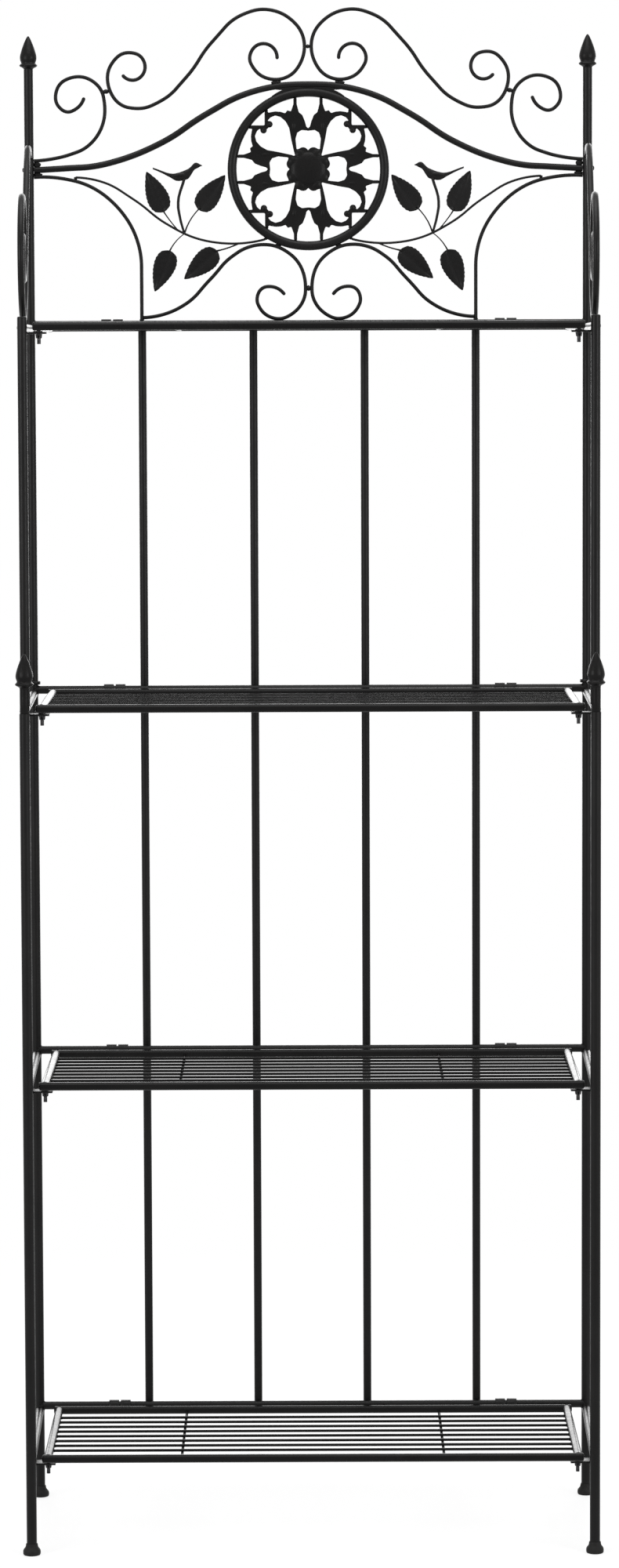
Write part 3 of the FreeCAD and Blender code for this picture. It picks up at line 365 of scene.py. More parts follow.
# Upright bars: four steel tubes behind the cross rails, from the bottom shelf to the top one.
# Each end is closed with a pressed cap, and each bar is tacked to every rail that it crosses.
BAR_X = (61.7, 185.1)
BAR_Y = 143.02
BAR_LOW = 101
BAR_HIGH = 1322
BAR_TACK_Y = 138.5
BAR_TACK_RISE = 1.9
TACK_SHOULDER = 0.45
TACK_ROOT = 0.6
TACK_NARROW = (1.0, 0.8, 0.75)
CAP_OUTLINE = (
    (4.3, -1.5), (4.35, -0.1), (4.47, 0.0), (4.43, 0.45), (4.1, 0.95), (3.3, 1.3), (2.0, 1.48), (0.5, 1.5),
)
paint_nodes(satin_black, "back_bars")


def tack(name, spot, long, tall):
    """A small weld tack: a ball pressed flat and drawn out to two uneven ends."""
    bpy.ops.object.select_all(action="DESELECT")
    bpy.ops.mesh.primitive_ico_sphere_add(subdivisions=2, radius=1.0 * MM, location=(0, 0, 0))
    bead = bpy.context.object
    bead.name = name
    bpy.ops.object.mode_set(mode="EDIT")
    bpy.ops.mesh.select_all(action="SELECT")
    bpy.ops.transform.resize(value=(long, 1.0, tall), center_override=(0, 0, 0))
    pick(bead, lambda corner: corner.co.x > TACK_SHOULDER * long * MM)
    bpy.ops.transform.resize(value=TACK_NARROW, center_override=(TACK_ROOT * long * MM, 0, 0))
    bpy.ops.object.mode_set(mode="OBJECT")
    bpy.ops.object.shade_smooth()
    return settle(bead, spot)


cap = turned("bar_cap", CAP_OUTLINE, sides=28)
bar_caps = []
for across in BAR_X:
    for side in (1, -1):
        top_cap = copy_of(cap, "bar_cap_top")
        bar_caps.append(settle(top_cap, (side * across, BAR_Y, BAR_HIGH)))
        foot_cap = copy_of(cap, "bar_cap_foot")
        bar_caps.append(settle(foot_cap, (side * across, BAR_Y, BAR_LOW), (math.pi, 0, 0)))
fit(joined("bar_caps", bar_caps), satin_black, "rack_frame", "black_paint")
bar_tack = tack("bar_tack", (0, 0, 0), long=3.0, tall=0.9)
bar_tacks = []
for across in BAR_X:
    for side in (1, -1):
        for height in RAIL_HEIGHTS:
            for offset in (BAR_TACK_RISE, -BAR_TACK_RISE):
                bead = copy_of(bar_tack, "bar_tack_copy")
                bar_tacks.append(settle(bead, (side * across, BAR_TACK_Y, height + offset)))
fit(joined("bar_tacks", bar_tacks), satin_black, "rack_frame", "black_paint")

# Front posts: a lower steel tube on each side up to mid height, and an upper tube behind it.
# The upper tube stands on the rung at mid height and is closed at the top with a pressed cap.
UPPER_Y = -122.88
UPPER_TOP = 1325
CAP_SWELL = 1.13
paint_nodes(satin_black, "front_post_lower_left", "front_post_lower_right")
paint_nodes(satin_black, "front_post_upper_left", "front_post_upper_right")
post_caps = []
for side in (1, -1):
    post_cap = copy_of(cap, "post_cap")
    bpy.ops.transform.resize(value=(CAP_SWELL, CAP_SWELL, 1), center_override=(0, 0, 0))
    post_caps.append(settle(post_cap, (side * FRONT_X, UPPER_Y, UPPER_TOP)))
fit(joined("upper_post_caps", post_caps), satin_black, "rack_frame", "black_paint")

# Side rungs: four steel tubes on each side, from the back post to the front post.
# Both ends are coped and welded, as on the cross rails, and the top rung meets the upper post.
# They run slightly inward, because the front posts stand closer together than the back ones.
RUNG_HEIGHTS = (99.5, 504.5, 909.5, 1314.5)
RUNG_SLOPE = (BACK_X - FRONT_X) / (BACK_Y - FRONT_Y)
paint_nodes(satin_black, "side_rungs_left", "side_rungs_right")
rung_welds = []
for height in RUNG_HEIGHTS:
    front_y = UPPER_Y if height > FRONT_SEAT else FRONT_Y
    for side in (1, -1):
        weld = copy_of(rail_weld, "rung_weld")
        rung_welds.append(settle(weld, (side * BACK_X, BACK_Y, height), (0, 0, math.pi / 2)))
        weld = copy_of(rail_weld, "rung_weld")
        front_x = side * (FRONT_X + (front_y - FRONT_Y) * RUNG_SLOPE)
        rung_welds.append(settle(weld, (front_x, front_y, height), (0, 0, -math.pi / 2)))
fit(joined("rung_welds", rung_welds), satin_black, "rack_frame", "black_paint")

# Rest tabs: small plates of flat steel under the rungs, welded on and drilled for a stud.
# The shelf's end rail comes to rest over them; their sheared edges are rounded by the paint.
def eased(name, node, width):
    """A copy of a solid with its sharp edges rounded."""
    take(frame["nodes"][node])
    bpy.ops.object.duplicate(linked=False)
    piece = bpy.context.object
    for key in list(piece.keys()):
        del piece[key]
    bpy.ops.object.parent_clear(type="CLEAR_KEEP_TRANSFORM")
    piece.name = name
    piece.data.name = name
    bpy.ops.object.mode_set(mode="EDIT")
    bpy.ops.mesh.select_all(action="SELECT")
    bpy.ops.mesh.customdata_custom_splitnormals_clear()
    bpy.ops.mesh.remove_doubles(threshold=SAME_PLACE * MM)
    bpy.ops.mesh.dissolve_limited(angle_limit=math.radians(1.5))
    bpy.ops.object.mode_set(mode="OBJECT")
    rounding = piece.modifiers.new("rounding", "BEVEL")
    rounding.width = width * MM
    rounding.segments = 2
    rounding.limit_method = "ANGLE"
    rounding.angle_limit = math.radians(42)
    bpy.ops.object.modifier_apply(modifier="rounding")
    bpy.ops.object.shade_smooth_by_angle(angle=math.radians(35))
    return piece


tabs = eased("rest_tabs_eased", "rest_tabs", width=0.45)
fit(tabs, satin_black, "rack_frame", "black_paint", "rest_tabs")

# Locating studs and wing nuts: steel with a dark zinc plate, the stud pushed up through the tab.
# Its pin enters a hole in the shelf, and the nut below has a turned hub and two pressed wings.
STUD_X = 286
STUD_Y = -108.38
SHELF_HEIGHTS = (101, 506, 911, 1316)
NUT_SEAT = -8.12
HUB_OUTLINE = (
    (2.1, -4.6), (2.75, -4.58), (3.05, -4.35), (3.2, -3.6), (3.55, -1.0), (3.72, -0.4), (3.6, -0.05),
    (2.15, 0.0), (2.1, -0.3), (2.1, -4.0), (0.5, -4.0),
)
WING_ROOT_SIZE = (1.6, 2.0, 3.4)
WING_ROOT_X = 3.1
WING_ROOT_Z = -2.75
WING_STEPS = ((1.9, -1.2, 0.96), (2.1, -1.5, 0.95), (1.0, -0.5, 0.8))
WING_THINNER = 0.92
ZINC_DEEP = (0.032, 0.032, 0.034, 1)
ZINC_DUSTY = (0.05, 0.049, 0.047, 1)
zinc = coated(
    "dark_zinc", ZINC_DEEP, ZINC_DUSTY, smoothest=0.24, roughest=0.42, grain=700, bump=0.2, shine=0.5
)
zinc.node_tree.nodes["Principled BSDF"].inputs["Metallic"].default_value = 1.0
paint_nodes(zinc, "locating_studs")


def nut_wing(name):
    """One wing of a wing nut: a small block drawn outward and down, then smoothed."""
    bpy.ops.object.select_all(action="DESELECT")
    bpy.ops.mesh.primitive_cube_add(size=1.0 * MM, location=(0, 0, 0))
    wing = bpy.context.object
    wing.name = name
    bpy.ops.object.mode_set(mode="EDIT")
    bpy.ops.mesh.select_all(action="SELECT")
    bpy.ops.transform.resize(value=WING_ROOT_SIZE, center_override=(0, 0, 0))
    bpy.ops.transform.translate(value=(WING_ROOT_X * MM, 0, WING_ROOT_Z * MM))
    bpy.ops.mesh.select_all(action="DESELECT")
    bpy.ops.object.mode_set(mode="OBJECT")
    for face in wing.data.polygons:
        face.select = face.normal.x > 0.9
    bpy.ops.object.mode_set(mode="EDIT")
    bpy.ops.mesh.select_mode(type="FACE")
    for out, drop, share in WING_STEPS:
        bpy.ops.mesh.extrude_region_move(TRANSFORM_OT_translate={"value": (out * MM, 0, drop * MM)})
        bpy.ops.transform.resize(value=(1, WING_THINNER, share))
    bpy.ops.mesh.select_mode(type="VERT")
    bpy.ops.object.mode_set(mode="OBJECT")
    smooth = wing.modifiers.new("smooth", "SUBSURF")
    smooth.levels = 2
    smooth.render_levels = 2
    bpy.ops.object.modifier_apply(modifier="smooth")
    bpy.ops.object.shade_smooth()
    return wing


right_wing = nut_wing("nut_wing")
left_wing = settle(copy_of(right_wing, "nut_wing_other"), (0, 0, 0), (0, 0, math.pi))
hub = turned("nut_hub", HUB_OUTLINE, sides=28)
wing_nut = joined("wing_nut", [hub, right_wing, left_wing])
for number, height in enumerate(SHELF_HEIGHTS, 1):
    for side, across in (("right", STUD_X), ("left", -STUD_X)):
        body = "wing_nut_%s_%d" % (side, number)
        nut = copy_of(wing_nut, body + "_pressed")
        settle(nut, (across, STUD_Y, height + NUT_SEAT), (0, 0, math.pi / 2))
        fit(nut, zinc, body, "zinc", body)

# Crest rods: round steel bar bent cold into an arch, scrolls and spandrels, and a welded ring.
# They lie in one plane between the back posts; each free end is dressed to a rounded tip.
CREST_Y = 136.5
ROD_R = 2.0
TIP_OUTLINE = ((1.0, -0.6), (1.0, 0.0), (0.93, 0.38), (0.74, 0.68), (0.45, 0.9), (0.12, 0.99))
ROD_ENDS = (
    ((247.86, 1567.19), (-0.326, 0.945)),
    ((203.87, 1592.21), (0.661, 0.751)),
    ((33.98, 1611.76), (0.015, -1.0)),
    ((27.62, 1352.69), (-0.607, -0.795)),
)
paint_nodes(satin_black, "crest_arch", "medallion_ring", "branches")
for rod in ("corner_scroll", "top_scroll", "spandrel_arc", "lower_scroll"):
    paint_nodes(satin_black, rod + "_left", rod + "_right")


def rod_tip(name, rod_r, spot, way):
    """The rounded end of a rod, at its place and pointing the way the rod leaves."""
    tip = turned(name, [(wide * rod_r, up * rod_r) for wide, up in TIP_OUTLINE], sides=20)
    turn = Vector(way).to_track_quat("Z", "Y").to_euler()
    return settle(tip, spot, turn)


rod_tips = []
for (across, height), (way_x, way_z) in ROD_ENDS:
    for side in (1, -1):
        spot = (side * across, CREST_Y, height)
        rod_tips.append(rod_tip("rod_tip", ROD_R, spot, (side * way_x, 0, way_z)))
fit(joined("crest_rod_tips", rod_tips), satin_black, "rack_frame", "black_paint")

# Weld ties: short fillets of weld where the rods of the crest come close to each other.
# Longer ones on the arch and on the ring fill the wedge at the top of the medallion.
RING_Z = 1489.48
RING_R = 89.4
ARCH_LOW = 1578.9
ARCH_DROP = 0.00093
CROWN_HALF = 40.0
CROWN_TAPER = 12.0
CROWN_DEEP = 2.2
CROWN_STEPS = 10
CROWN_THINNEST = 0.1
CROWN_LAP = 0.05
STATION_REACH = 0.1
SUNK = 0.8
MIDDLE_TACKS = ((1623.94, 2.7, 2.3), (1358.69, 2.7, 3.3))
TACKS = (
    ((36.0, 1584.3), 5.0, 2.3),
    ((222.9, 1575.3), 3.8, 2.6),
    ((299.9, 1495.4), 4.6, 3.5),
    ((299.0, 1484.6), 5.4, 2.2),
    ((32.6, 1406.4), 4.6, 1.8),
    ((33.9, 1324.5), 5.0, 1.6),
    ((257.3, 1480.6), 2.2, 1.5),
    ((47.2, 1413.2), 2.6, 1.5),
    ((138.2, 1420.3), 2.3, 1.8),
    ((183.6, 1326.9), 2.0, 2.4),
    ((185.1, 1324.3), 2.8, 1.3),
)
paint_nodes(satin_black, "weld_ties")


def at_station(corner, across):
    """Whether a corner lies at a distance from the middle of the crest."""
    return abs(corner.co.x - across * MM) < STATION_REACH * MM


def crown_weld(name, on_arch):
    """A band of weld along the underside of the arch or the top of the ring, thin at both ends."""
    bpy.ops.object.select_all(action="DESELECT")
    bpy.ops.mesh.primitive_cube_add(size=2.0 * MM, location=(0, 0, 0))
    band = bpy.context.object
    band.name = name
    bpy.ops.object.mode_set(mode="EDIT")
    bpy.ops.mesh.select_all(action="SELECT")
    bpy.ops.transform.resize(value=(CROWN_HALF, CROWN_DEEP, 1.0), center_override=(0, 0, 0))
    stations = [CROWN_HALF * step / CROWN_STEPS for step in range(-CROWN_STEPS, CROWN_STEPS + 1)]
    for across in stations[1:-1]:
        bpy.ops.mesh.select_all(action="SELECT")
        bpy.ops.mesh.bisect(plane_co=(across * MM, 0, 0), plane_no=(1, 0, 0))
    for across in stations:
        arch_edge = ARCH_LOW - ARCH_DROP * across ** 2
        ring_edge = RING_Z + math.sqrt(RING_R ** 2 - across ** 2)
        fullness = min(1.0, (CROWN_HALF - abs(across)) / CROWN_TAPER)
        thick = max((arch_edge - ring_edge) / 2 * fullness, CROWN_THINNEST) + CROWN_LAP
        low = arch_edge - thick if on_arch else ring_edge - SUNK
        high = arch_edge + SUNK if on_arch else ring_edge + thick
        for upper in (True, False):
            pick(band, lambda corner: at_station(corner, across) and (corner.co.z > 0) == upper)
            rise = high - 1.0 if upper else low + 1.0
            bpy.ops.transform.translate(value=(0, CREST_Y * MM, rise * MM))
    bpy.ops.object.mode_set(mode="OBJECT")
    bpy.ops.object.shade_smooth_by_angle(angle=math.radians(35))
    return band


crest_welds = [crown_weld("crown_weld_arch", True), crown_weld("crown_weld_ring", False)]
for (across, height), long, tall in TACKS:
    for side in (1, -1):
        crest_welds.append(tack("crest_tack", (side * across, CREST_Y, height), long, tall))
for height, long, tall in MIDDLE_TACKS:
    crest_welds.append(tack("middle_tack", (0, CREST_Y, height), long, tall))
fit(joined("crest_welds", crest_welds), satin_black, "rack_frame", "black_paint")

# Rosette: a thin openwork casting, four pairs of curled arms round a lobed boss.
# It is welded inside the ring by its points; the boss is domed and each arm has a raised rib.
# All edges are soft, as they come from the mould.
INNER_R = 79.2
CAST_GRAIN = 0.6
SOFTEN_SHARE = 0.5
SOFTEN_ROUNDS = 7
KEPT_SHARE = 0.4
BOSS_SEAT = 1.5
BOSS_OUTLINE = (
    (18.6, 0.0), (18.2, 0.7), (17.0, 1.5), (14.8, 2.2), (11.2, 2.75), (7.0, 3.05), (3.0, 3.15), (0.6, 3.2),
)
LOBE_OUT = 18.4
LOBE_TURNS = (28, -28, 62, -62, 118, -118, 152, -152)
DROP_TAPER = ((0.1, 0.86), (0.4, 0.78), (0.7, 0.7))
rosette = eased("rosette_cast", "medallion_rosette", width=0.7)


def relief(name, wide, long, proud):
    """A raised drop: a ball stretched and pressed flat, with one end drawn to a point."""
    bpy.ops.object.select_all(action="DESELECT")
    bpy.ops.mesh.primitive_uv_sphere_add(segments=16, ring_count=12, radius=1.0 * MM, location=(0, 0, 0))
    drop = bpy.context.object
    drop.name = name
    bpy.ops.object.mode_set(mode="EDIT")
    bpy.ops.mesh.select_all(action="SELECT")
    bpy.ops.transform.resize(value=(wide, proud, long), center_override=(0, 0, 0))
    for share, narrow in DROP_TAPER:
        pick(drop, lambda corner: corner.co.z > share * long * MM)
        bpy.ops.transform.resize(value=(narrow, narrow, 1), center_override=(0, 0, 0))
    bpy.ops.object.mode_set(mode="OBJECT")
    bpy.ops.object.shade_smooth()
    return drop


rosette_parts = [rosette]
boss_front = turned("boss_front", BOSS_OUTLINE, sides=48)
boss_back = copy_of(boss_front, "boss_back")
rosette_parts.append(settle(boss_front, (0, CREST_Y - BOSS_SEAT, RING_Z), (math.pi / 2, 0, 0)))
rosette_parts.append(settle(boss_back, (0, CREST_Y + BOSS_SEAT, RING_Z), (-math.pi / 2, 0, 0)))
lobe = relief("boss_lobe", wide=6.3, long=6.6, proud=3.3)
for degrees in LOBE_TURNS:
    turn = math.radians(degrees)
    spot = (LOBE_OUT * math.sin(turn), CREST_Y, RING_Z + LOBE_OUT * math.cos(turn))
    rosette_parts.append(settle(copy_of(lobe, "boss_lobe_copy"), spot, (0, turn + math.pi, 0)))
rib = relief("arm_rib", wide=2.6, long=11.5, proud=2.7)
curl = relief("arm_curl", wide=3.6, long=3.8, proud=2.9)
point = relief("arm_point", wide=2.7, long=12.5, proud=2.1)
for quarter in range(4):
    lean = quarter * math.pi / 2
    for side in (1, -1):
        for shape, out, up, tilt in (
            (rib, 0.2, 0.62, 0.06),
            (curl, 0.54, 0.622, 0.0),
            (point, 0.181, 0.845, 0.0),
        ):
            across = side * out * INNER_R
            rise = up * INNER_R
            spot_x = across * math.cos(lean) + rise * math.sin(lean)
            spot_z = RING_Z + (rise * math.cos(lean) - across * math.sin(lean))
            copy = copy_of(shape, "arm_relief")
            rosette_parts.append(settle(copy, (spot_x, CREST_Y, spot_z), (0, lean - side * tilt, 0)))
rosette = joined("rosette_cast", rosette_parts)
rosette.data.remesh_voxel_size = CAST_GRAIN * MM
bpy.ops.object.voxel_remesh()
soften = rosette.modifiers.new("soften", "SMOOTH")
soften.factor = SOFTEN_SHARE
soften.iterations = SOFTEN_ROUNDS
bpy.ops.object.modifier_apply(modifier="soften")
thin_out = rosette.modifiers.new("thin_out", "DECIMATE")
thin_out.ratio = KEPT_SHARE
bpy.ops.object.modifier_apply(modifier="thin_out")
bpy.ops.object.shade_smooth()
fit(rosette, cast_black, "rack_frame", "black_paint", "medallion_rosette")

# Leaves: toothed blades pressed from sheet steel, four on each branch.
# The press leaves a crease down the middle and slanting veins, and a wire stalk is welded on.
LEAF_LONG = 48.0
LEAF_WIDE = 25.0
LEAF_EDGE = (
    (0.0, 0.06), (0.03, 0.22), (0.08, 0.4), (0.1, 0.36), (0.17, 0.49), (0.19, 0.43), (0.27, 0.53),
    (0.29, 0.465), (0.36, 0.53), (0.38, 0.46), (0.46, 0.5), (0.48, 0.43), (0.55, 0.46), (0.57, 0.385),
    (0.64, 0.4), (0.66, 0.33), (0.73, 0.33), (0.75, 0.26), (0.82, 0.245), (0.84, 0.175), (0.91, 0.145),
    (0.95, 0.075), (1.0, 0.012),
)
LEAF_SHEET = 1.1
LEAF_COLUMNS = 8
CREASES = ((4, 1.1), (3, 0.35), (5, 0.35), (0, 0.3), (8, 0.3))
VEIN = ((3, 0), (5, 0), (2, 1), (6, 1), (1, 2), (7, 2))
VEIN_DEPTH = 0.32
VEIN_EVERY = 3
TIP_ROWS = 6
TIP_DROOP = 0.05
TIP_CURVE = 1.6
LEAF_PLACES = (
    ((159.88, 1443.06), (144.15, 1422.49), 66.6, 0.6),
    ((153.21, 1400.26), (137.43, 1419.06), -68.9, -1.8),
    ((121.35, 1445.09), (137.2, 1419.6), 127.6, 2.2),
    ((101.33, 1400.26), (77.06, 1408.07), -40.5, 0.9),
)
STALK_REACH = 1.08
STALK_SHARES = ((0.0, 1.05), (0.2, 0.95), (0.4, 0.9), (0.6, 0.9), (0.8, 0.95), (0.93, 1.15), (1.0, 1.3))


def grid_lines(piece, axis):
    """The lines of a flat grid across an axis: each one's place in millimetres and its corners."""
    lines = []
    for place in sorted({round(corner.co[axis] / MM, 4) for corner in piece.data.vertices}):
        near = [corner for corner in piece.data.vertices if abs(corner.co[axis] / MM - place) < SAME_PLACE]
        lines.append((place, {corner.index for corner in near}))
    return lines


def press(piece, chosen, depth):
    """Pushes some corners of a sheet back by a depth in millimetres."""
    pick(piece, lambda corner: corner.index in chosen)
    bpy.ops.transform.translate(value=(0, depth * MM, 0))


def pressed_leaf(name):
    """A leaf standing up from the origin in the plane of the crest, made from a fine sheet."""
    last = len(LEAF_EDGE) - 1
    bpy.ops.object.select_all(action="DESELECT")
    bpy.ops.mesh.primitive_grid_add(
        x_subdivisions=LEAF_COLUMNS,
        y_subdivisions=last,
        size=2.0 * MM,
        location=(0, 0, 0),
        rotation=(math.pi / 2, 0, 0),
    )
    leaf = bpy.context.object
    leaf.name = name
    leaf.data.name = name
    bpy.ops.object.transform_apply(location=True, rotation=True, scale=True)
    levels = grid_lines(leaf, 2)
    rows = [corners for place, corners in levels]
    columns = [corners for place, corners in grid_lines(leaf, 0)]
    for (level, row), (along, half) in zip(levels, LEAF_EDGE):
        pick(leaf, lambda corner: corner.index in row)
        bpy.ops.transform.resize(value=(half * LEAF_WIDE, 1, 1), center_override=(0, 0, 0))
        bpy.ops.transform.translate(value=(0, 0, (along * LEAF_LONG - level) * MM))
    for column, depth in CREASES:
        press(leaf, columns[column], depth)
    for number in range(2, last - 2, VEIN_EVERY):
        slant = set()
        for column, ahead in VEIN:
            slant |= rows[min(number + ahead, last)] & columns[column]
        press(leaf, slant, VEIN_DEPTH)
    for step in range(1, TIP_ROWS + 1):
        press(leaf, rows[last - TIP_ROWS + step], -TIP_DROOP * step ** TIP_CURVE)
    bpy.ops.object.mode_set(mode="OBJECT")
    wall = leaf.modifiers.new("wall", "SOLIDIFY")
    wall.thickness = LEAF_SHEET * MM
    wall.offset = 0
    bpy.ops.object.modifier_apply(modifier="wall")
    smooth = leaf.modifiers.new("smooth", "SUBSURF")
    smooth.levels = 1
    smooth.render_levels = 1
    bpy.ops.object.modifier_apply(modifier="smooth")
    bpy.ops.object.mode_set(mode="EDIT")
    bpy.ops.mesh.select_all(action="SELECT")
    bpy.ops.mesh.normals_make_consistent(inside=False)
    bpy.ops.object.mode_set(mode="OBJECT")
    bpy.ops.object.shade_smooth_by_angle(angle=math.radians(50))
    return leaf


def drawn(name, stations, upright, sides):
    """A form drawn along a line in the plane of the crest, with its half height at each station."""
    first_x, first_z, first_r = stations[0]
    bpy.ops.object.select_all(action="DESELECT")
    bpy.ops.mesh.primitive_circle_add(
        vertices=sides,
        radius=first_r * MM,
        fill_type="NGON",
        location=(first_x * MM, 0, first_z * MM),
        rotation=(0, 0 if upright else math.pi / 2, 0),
    )
    form = bpy.context.object
    form.name = name
    form.data.name = name
    bpy.ops.object.transform_apply(location=True, rotation=True, scale=True)
    bpy.ops.object.mode_set(mode="EDIT")
    bpy.ops.mesh.select_all(action="SELECT")
    for (x0, z0, r0), (x1, z1, r1) in zip(stations, stations[1:]):
        bpy.ops.mesh.extrude_region_move(
            TRANSFORM_OT_translate={"value": ((x1 - x0) * MM, 0, (z1 - z0) * MM)}
        )
        share = r1 / r0
        bpy.ops.transform.resize(value=(share, share, share), center_override=(x1 * MM, 0, z1 * MM))
    bpy.ops.mesh.select_all(action="SELECT")
    bpy.ops.mesh.normals_make_consistent(inside=False)
    bpy.ops.object.mode_set(mode="OBJECT")
    bpy.ops.object.shade_smooth_by_angle(angle=math.radians(60))
    return form


leaf_pressed = pressed_leaf("leaf_pressed")
leaf_parts = []
for base, spot, degrees, bow in LEAF_PLACES:
    for side in (1, -1):
        way = Vector((side * math.cos(math.radians(degrees)), 0, math.sin(math.radians(degrees))))
        turn = math.atan2(way.x, way.z)
        leaf = copy_of(leaf_pressed, "leaf")
        leaf_parts.append(settle(leaf, (side * base[0], CREST_Y, base[1]), (0, turn, 0)))
        reach = Vector((base[0] - spot[0], base[1] - spot[1]))
        across = Vector((-reach.y, reach.x)).normalized()
        stations = []
        for share, thick in STALK_SHARES:
            sag = 4 * bow * share * (1 - share)
            place = Vector(spot) + reach * (share * STALK_REACH) - across * sag
            stations.append((side * place.x, place.y, thick))
        stalk = drawn("stalk", stations, upright=abs(reach.y) > abs(reach.x), sides=12)
        leaf_parts.append(settle(stalk, (0, CREST_Y, 0)))
fit(joined("leaves_pressed", leaf_parts), satin_black, "rack_frame", "black_paint", "leaves")

# Birds: one on each branch, cut and beaten from thick sheet so that the body is rounded.
# Each has a long tail, a bent neck and a beak towards the medallion, and stands on a stem.
BIRD_STATIONS = (
    (172.0, 1490.9, 0.95), (167.5, 1489.2, 1.1), (161.2, 1486.6, 1.35), (156.8, 1484.6, 1.7),
    (153.1, 1483.2, 2.2), (149.5, 1481.9, 3.2), (146.3, 1481.3, 4.2), (142.8, 1481.6, 4.8),
    (139.6, 1482.4, 5.1), (136.0, 1483.5, 5.5), (132.8, 1484.8, 5.6), (130.6, 1487.0, 5.1),
    (128.7, 1489.5, 4.6), (127.0, 1491.8, 4.1), (125.5, 1493.2, 3.7), (123.6, 1493.8, 3.3),
    (121.9, 1493.9, 2.7), (120.4, 1493.9, 1.7), (119.2, 1493.9, 1.05), (117.4, 1493.8, 0.4),
)
BIRD_STEM = (
    (136.5, 1482.0, 1.75), (138.9, 1473.6, 1.7), (141.7, 1465.7, 1.65), (143.5, 1459.0, 1.6),
    (144.1, 1453.6, 1.6), (144.1, 1447.5, 1.6), (143.2, 1441.7, 1.55), (141.2, 1432.0, 1.5),
    (138.2, 1421.6, 1.4),
)
BIRD_WING_SPOT = (143.5, 0, 1483.2)
BIRD_WING_TURN = 94
BIRD_EYE_SPOT = (124.2, 0, 1494.7)
BIRD_FLAT = 0.42


def bird_form(name):
    """A bird over its stem, on the right half of the crest, flattened to a thick sheet."""
    trunk = drawn(name, BIRD_STATIONS, upright=False, sides=20)
    bpy.ops.object.mode_set(mode="EDIT")
    bpy.ops.mesh.select_all(action="SELECT")
    bpy.ops.transform.resize(value=(1, BIRD_FLAT, 1), center_override=(0, 0, 0))
    bpy.ops.object.mode_set(mode="OBJECT")
    stem = drawn("bird_stem", BIRD_STEM, upright=True, sides=14)
    wing = relief("bird_wing", wide=3.1, long=11.0, proud=3.1)
    settle(wing, BIRD_WING_SPOT, (0, math.radians(BIRD_WING_TURN), 0))
    eye = relief("bird_eye", wide=0.7, long=0.7, proud=1.5)
    settle(eye, BIRD_EYE_SPOT)
    return joined(name, [trunk, stem, wing, eye])


bird_right = bird_form("bird_right")
bird_left = copy_of(bird_right, "bird_left")
bpy.ops.object.mode_set(mode="EDIT")
bpy.ops.mesh.select_all(action="SELECT")
bpy.ops.transform.resize(value=(-1, 1, 1), center_override=(0, 0, 0))
bpy.ops.mesh.normals_make_consistent(inside=False)
bpy.ops.object.mode_set(mode="OBJECT")
for piece in (bird_right, bird_left):
    settle(piece, (0, CREST_Y, 0))
    fit(piece, satin_black, "rack_frame", "black_paint", "birds")

# Panel screws: round-headed machine screws through the back posts into the feet of the arch.
# Each head is domed, with a socket for a key sunk in it, and painted black.
SCREW_FACE = 313.62
SCREW_Z = 1489.4
SCREW_OUTLINE = (
    (2.72, 0.02), (2.75, 0.5), (2.66, 1.0), (2.4, 1.55), (2.0, 2.05), (1.55, 2.35), (1.2, 2.46), (1.0, 2.46),
    (0.95, 2.3), (0.92, 1.2), (0.3, 1.0),
)
screw = turned("panel_screw_right", SCREW_OUTLINE, sides=24)
screw_left = copy_of(screw, "panel_screw_left")
settle(screw, (SCREW_FACE, BACK_Y, SCREW_Z), (0, math.pi / 2, 0))
settle(screw_left, (-SCREW_FACE, BACK_Y, SCREW_Z), (0, -math.pi / 2, 0))
for piece in (screw, screw_left):
    fit(piece, satin_black, "rack_frame", "black_paint", "panel_screws")

# Side scrolls: a bent steel rod on each side, from the back post down over the top rung.
# The upper end is coped and welded to the post, and the curled end is dressed round.
SIDE_R = 3.5
SIDE_END_X = 304.21
SIDE_END_Y = -78.16
SIDE_END_Z = 1411.58
SIDE_WAY = (0.02, 0.987, 0.161)
paint_nodes(satin_black, "side_scroll_left", "side_scroll_right")
side_tips = []
for side in (1, -1):
    way = (side * SIDE_WAY[0], SIDE_WAY[1], SIDE_WAY[2])
    side_tips.append(rod_tip("side_tip", SIDE_R, (side * SIDE_END_X, SIDE_END_Y, SIDE_END_Z), way))
fit(joined("side_scroll_tips", side_tips), satin_black, "rack_frame", "black_paint")

# Shelf frames: four steel tubes each, the end rails coped to the front and back rails.
# The corners are welded, and the open ends of the front and back rails are capped.
# They are coated apart from the posts, and the coat lies smoother on them.
END_X = 286
END_RAIL_R = 4.2
LONG_RAIL_R = 4.5
RAIL_END = 290.5
SHELF_Y = 122
smooth_black = coated(
    "smooth_black", DEEP_BLACK, DUSTY_BLACK, smoothest=0.22, roughest=0.3, grain=900, bump=0.02, shine=0.1
)
corner_weld = saddle_weld("corner_weld", END_RAIL_R, LONG_RAIL_R)
settle(corner_weld, (0, 0, 0), (math.pi / 2, 0, math.pi / 2))
for number, height in enumerate(SHELF_HEIGHTS, 1):
    paint_nodes(smooth_black, "shelf_frame_%d" % number)
    frame_parts = []
    for side in (1, -1):
        for end in (1, -1):
            shelf_cap = copy_of(cap, "shelf_cap")
            outward = (0, math.pi / 2 * side, 0)
            frame_parts.append(settle(shelf_cap, (side * RAIL_END, end * SHELF_Y, height), outward))
            weld = copy_of(corner_weld, "corner_weld_copy")
            turn = 0 if end > 0 else math.pi
            frame_parts.append(settle(weld, (side * END_X, end * SHELF_Y, height), (0, 0, turn)))
    fit(joined("shelf_caps_%d" % number, frame_parts), smooth_black, "shelf_%d" % number, "black_paint")

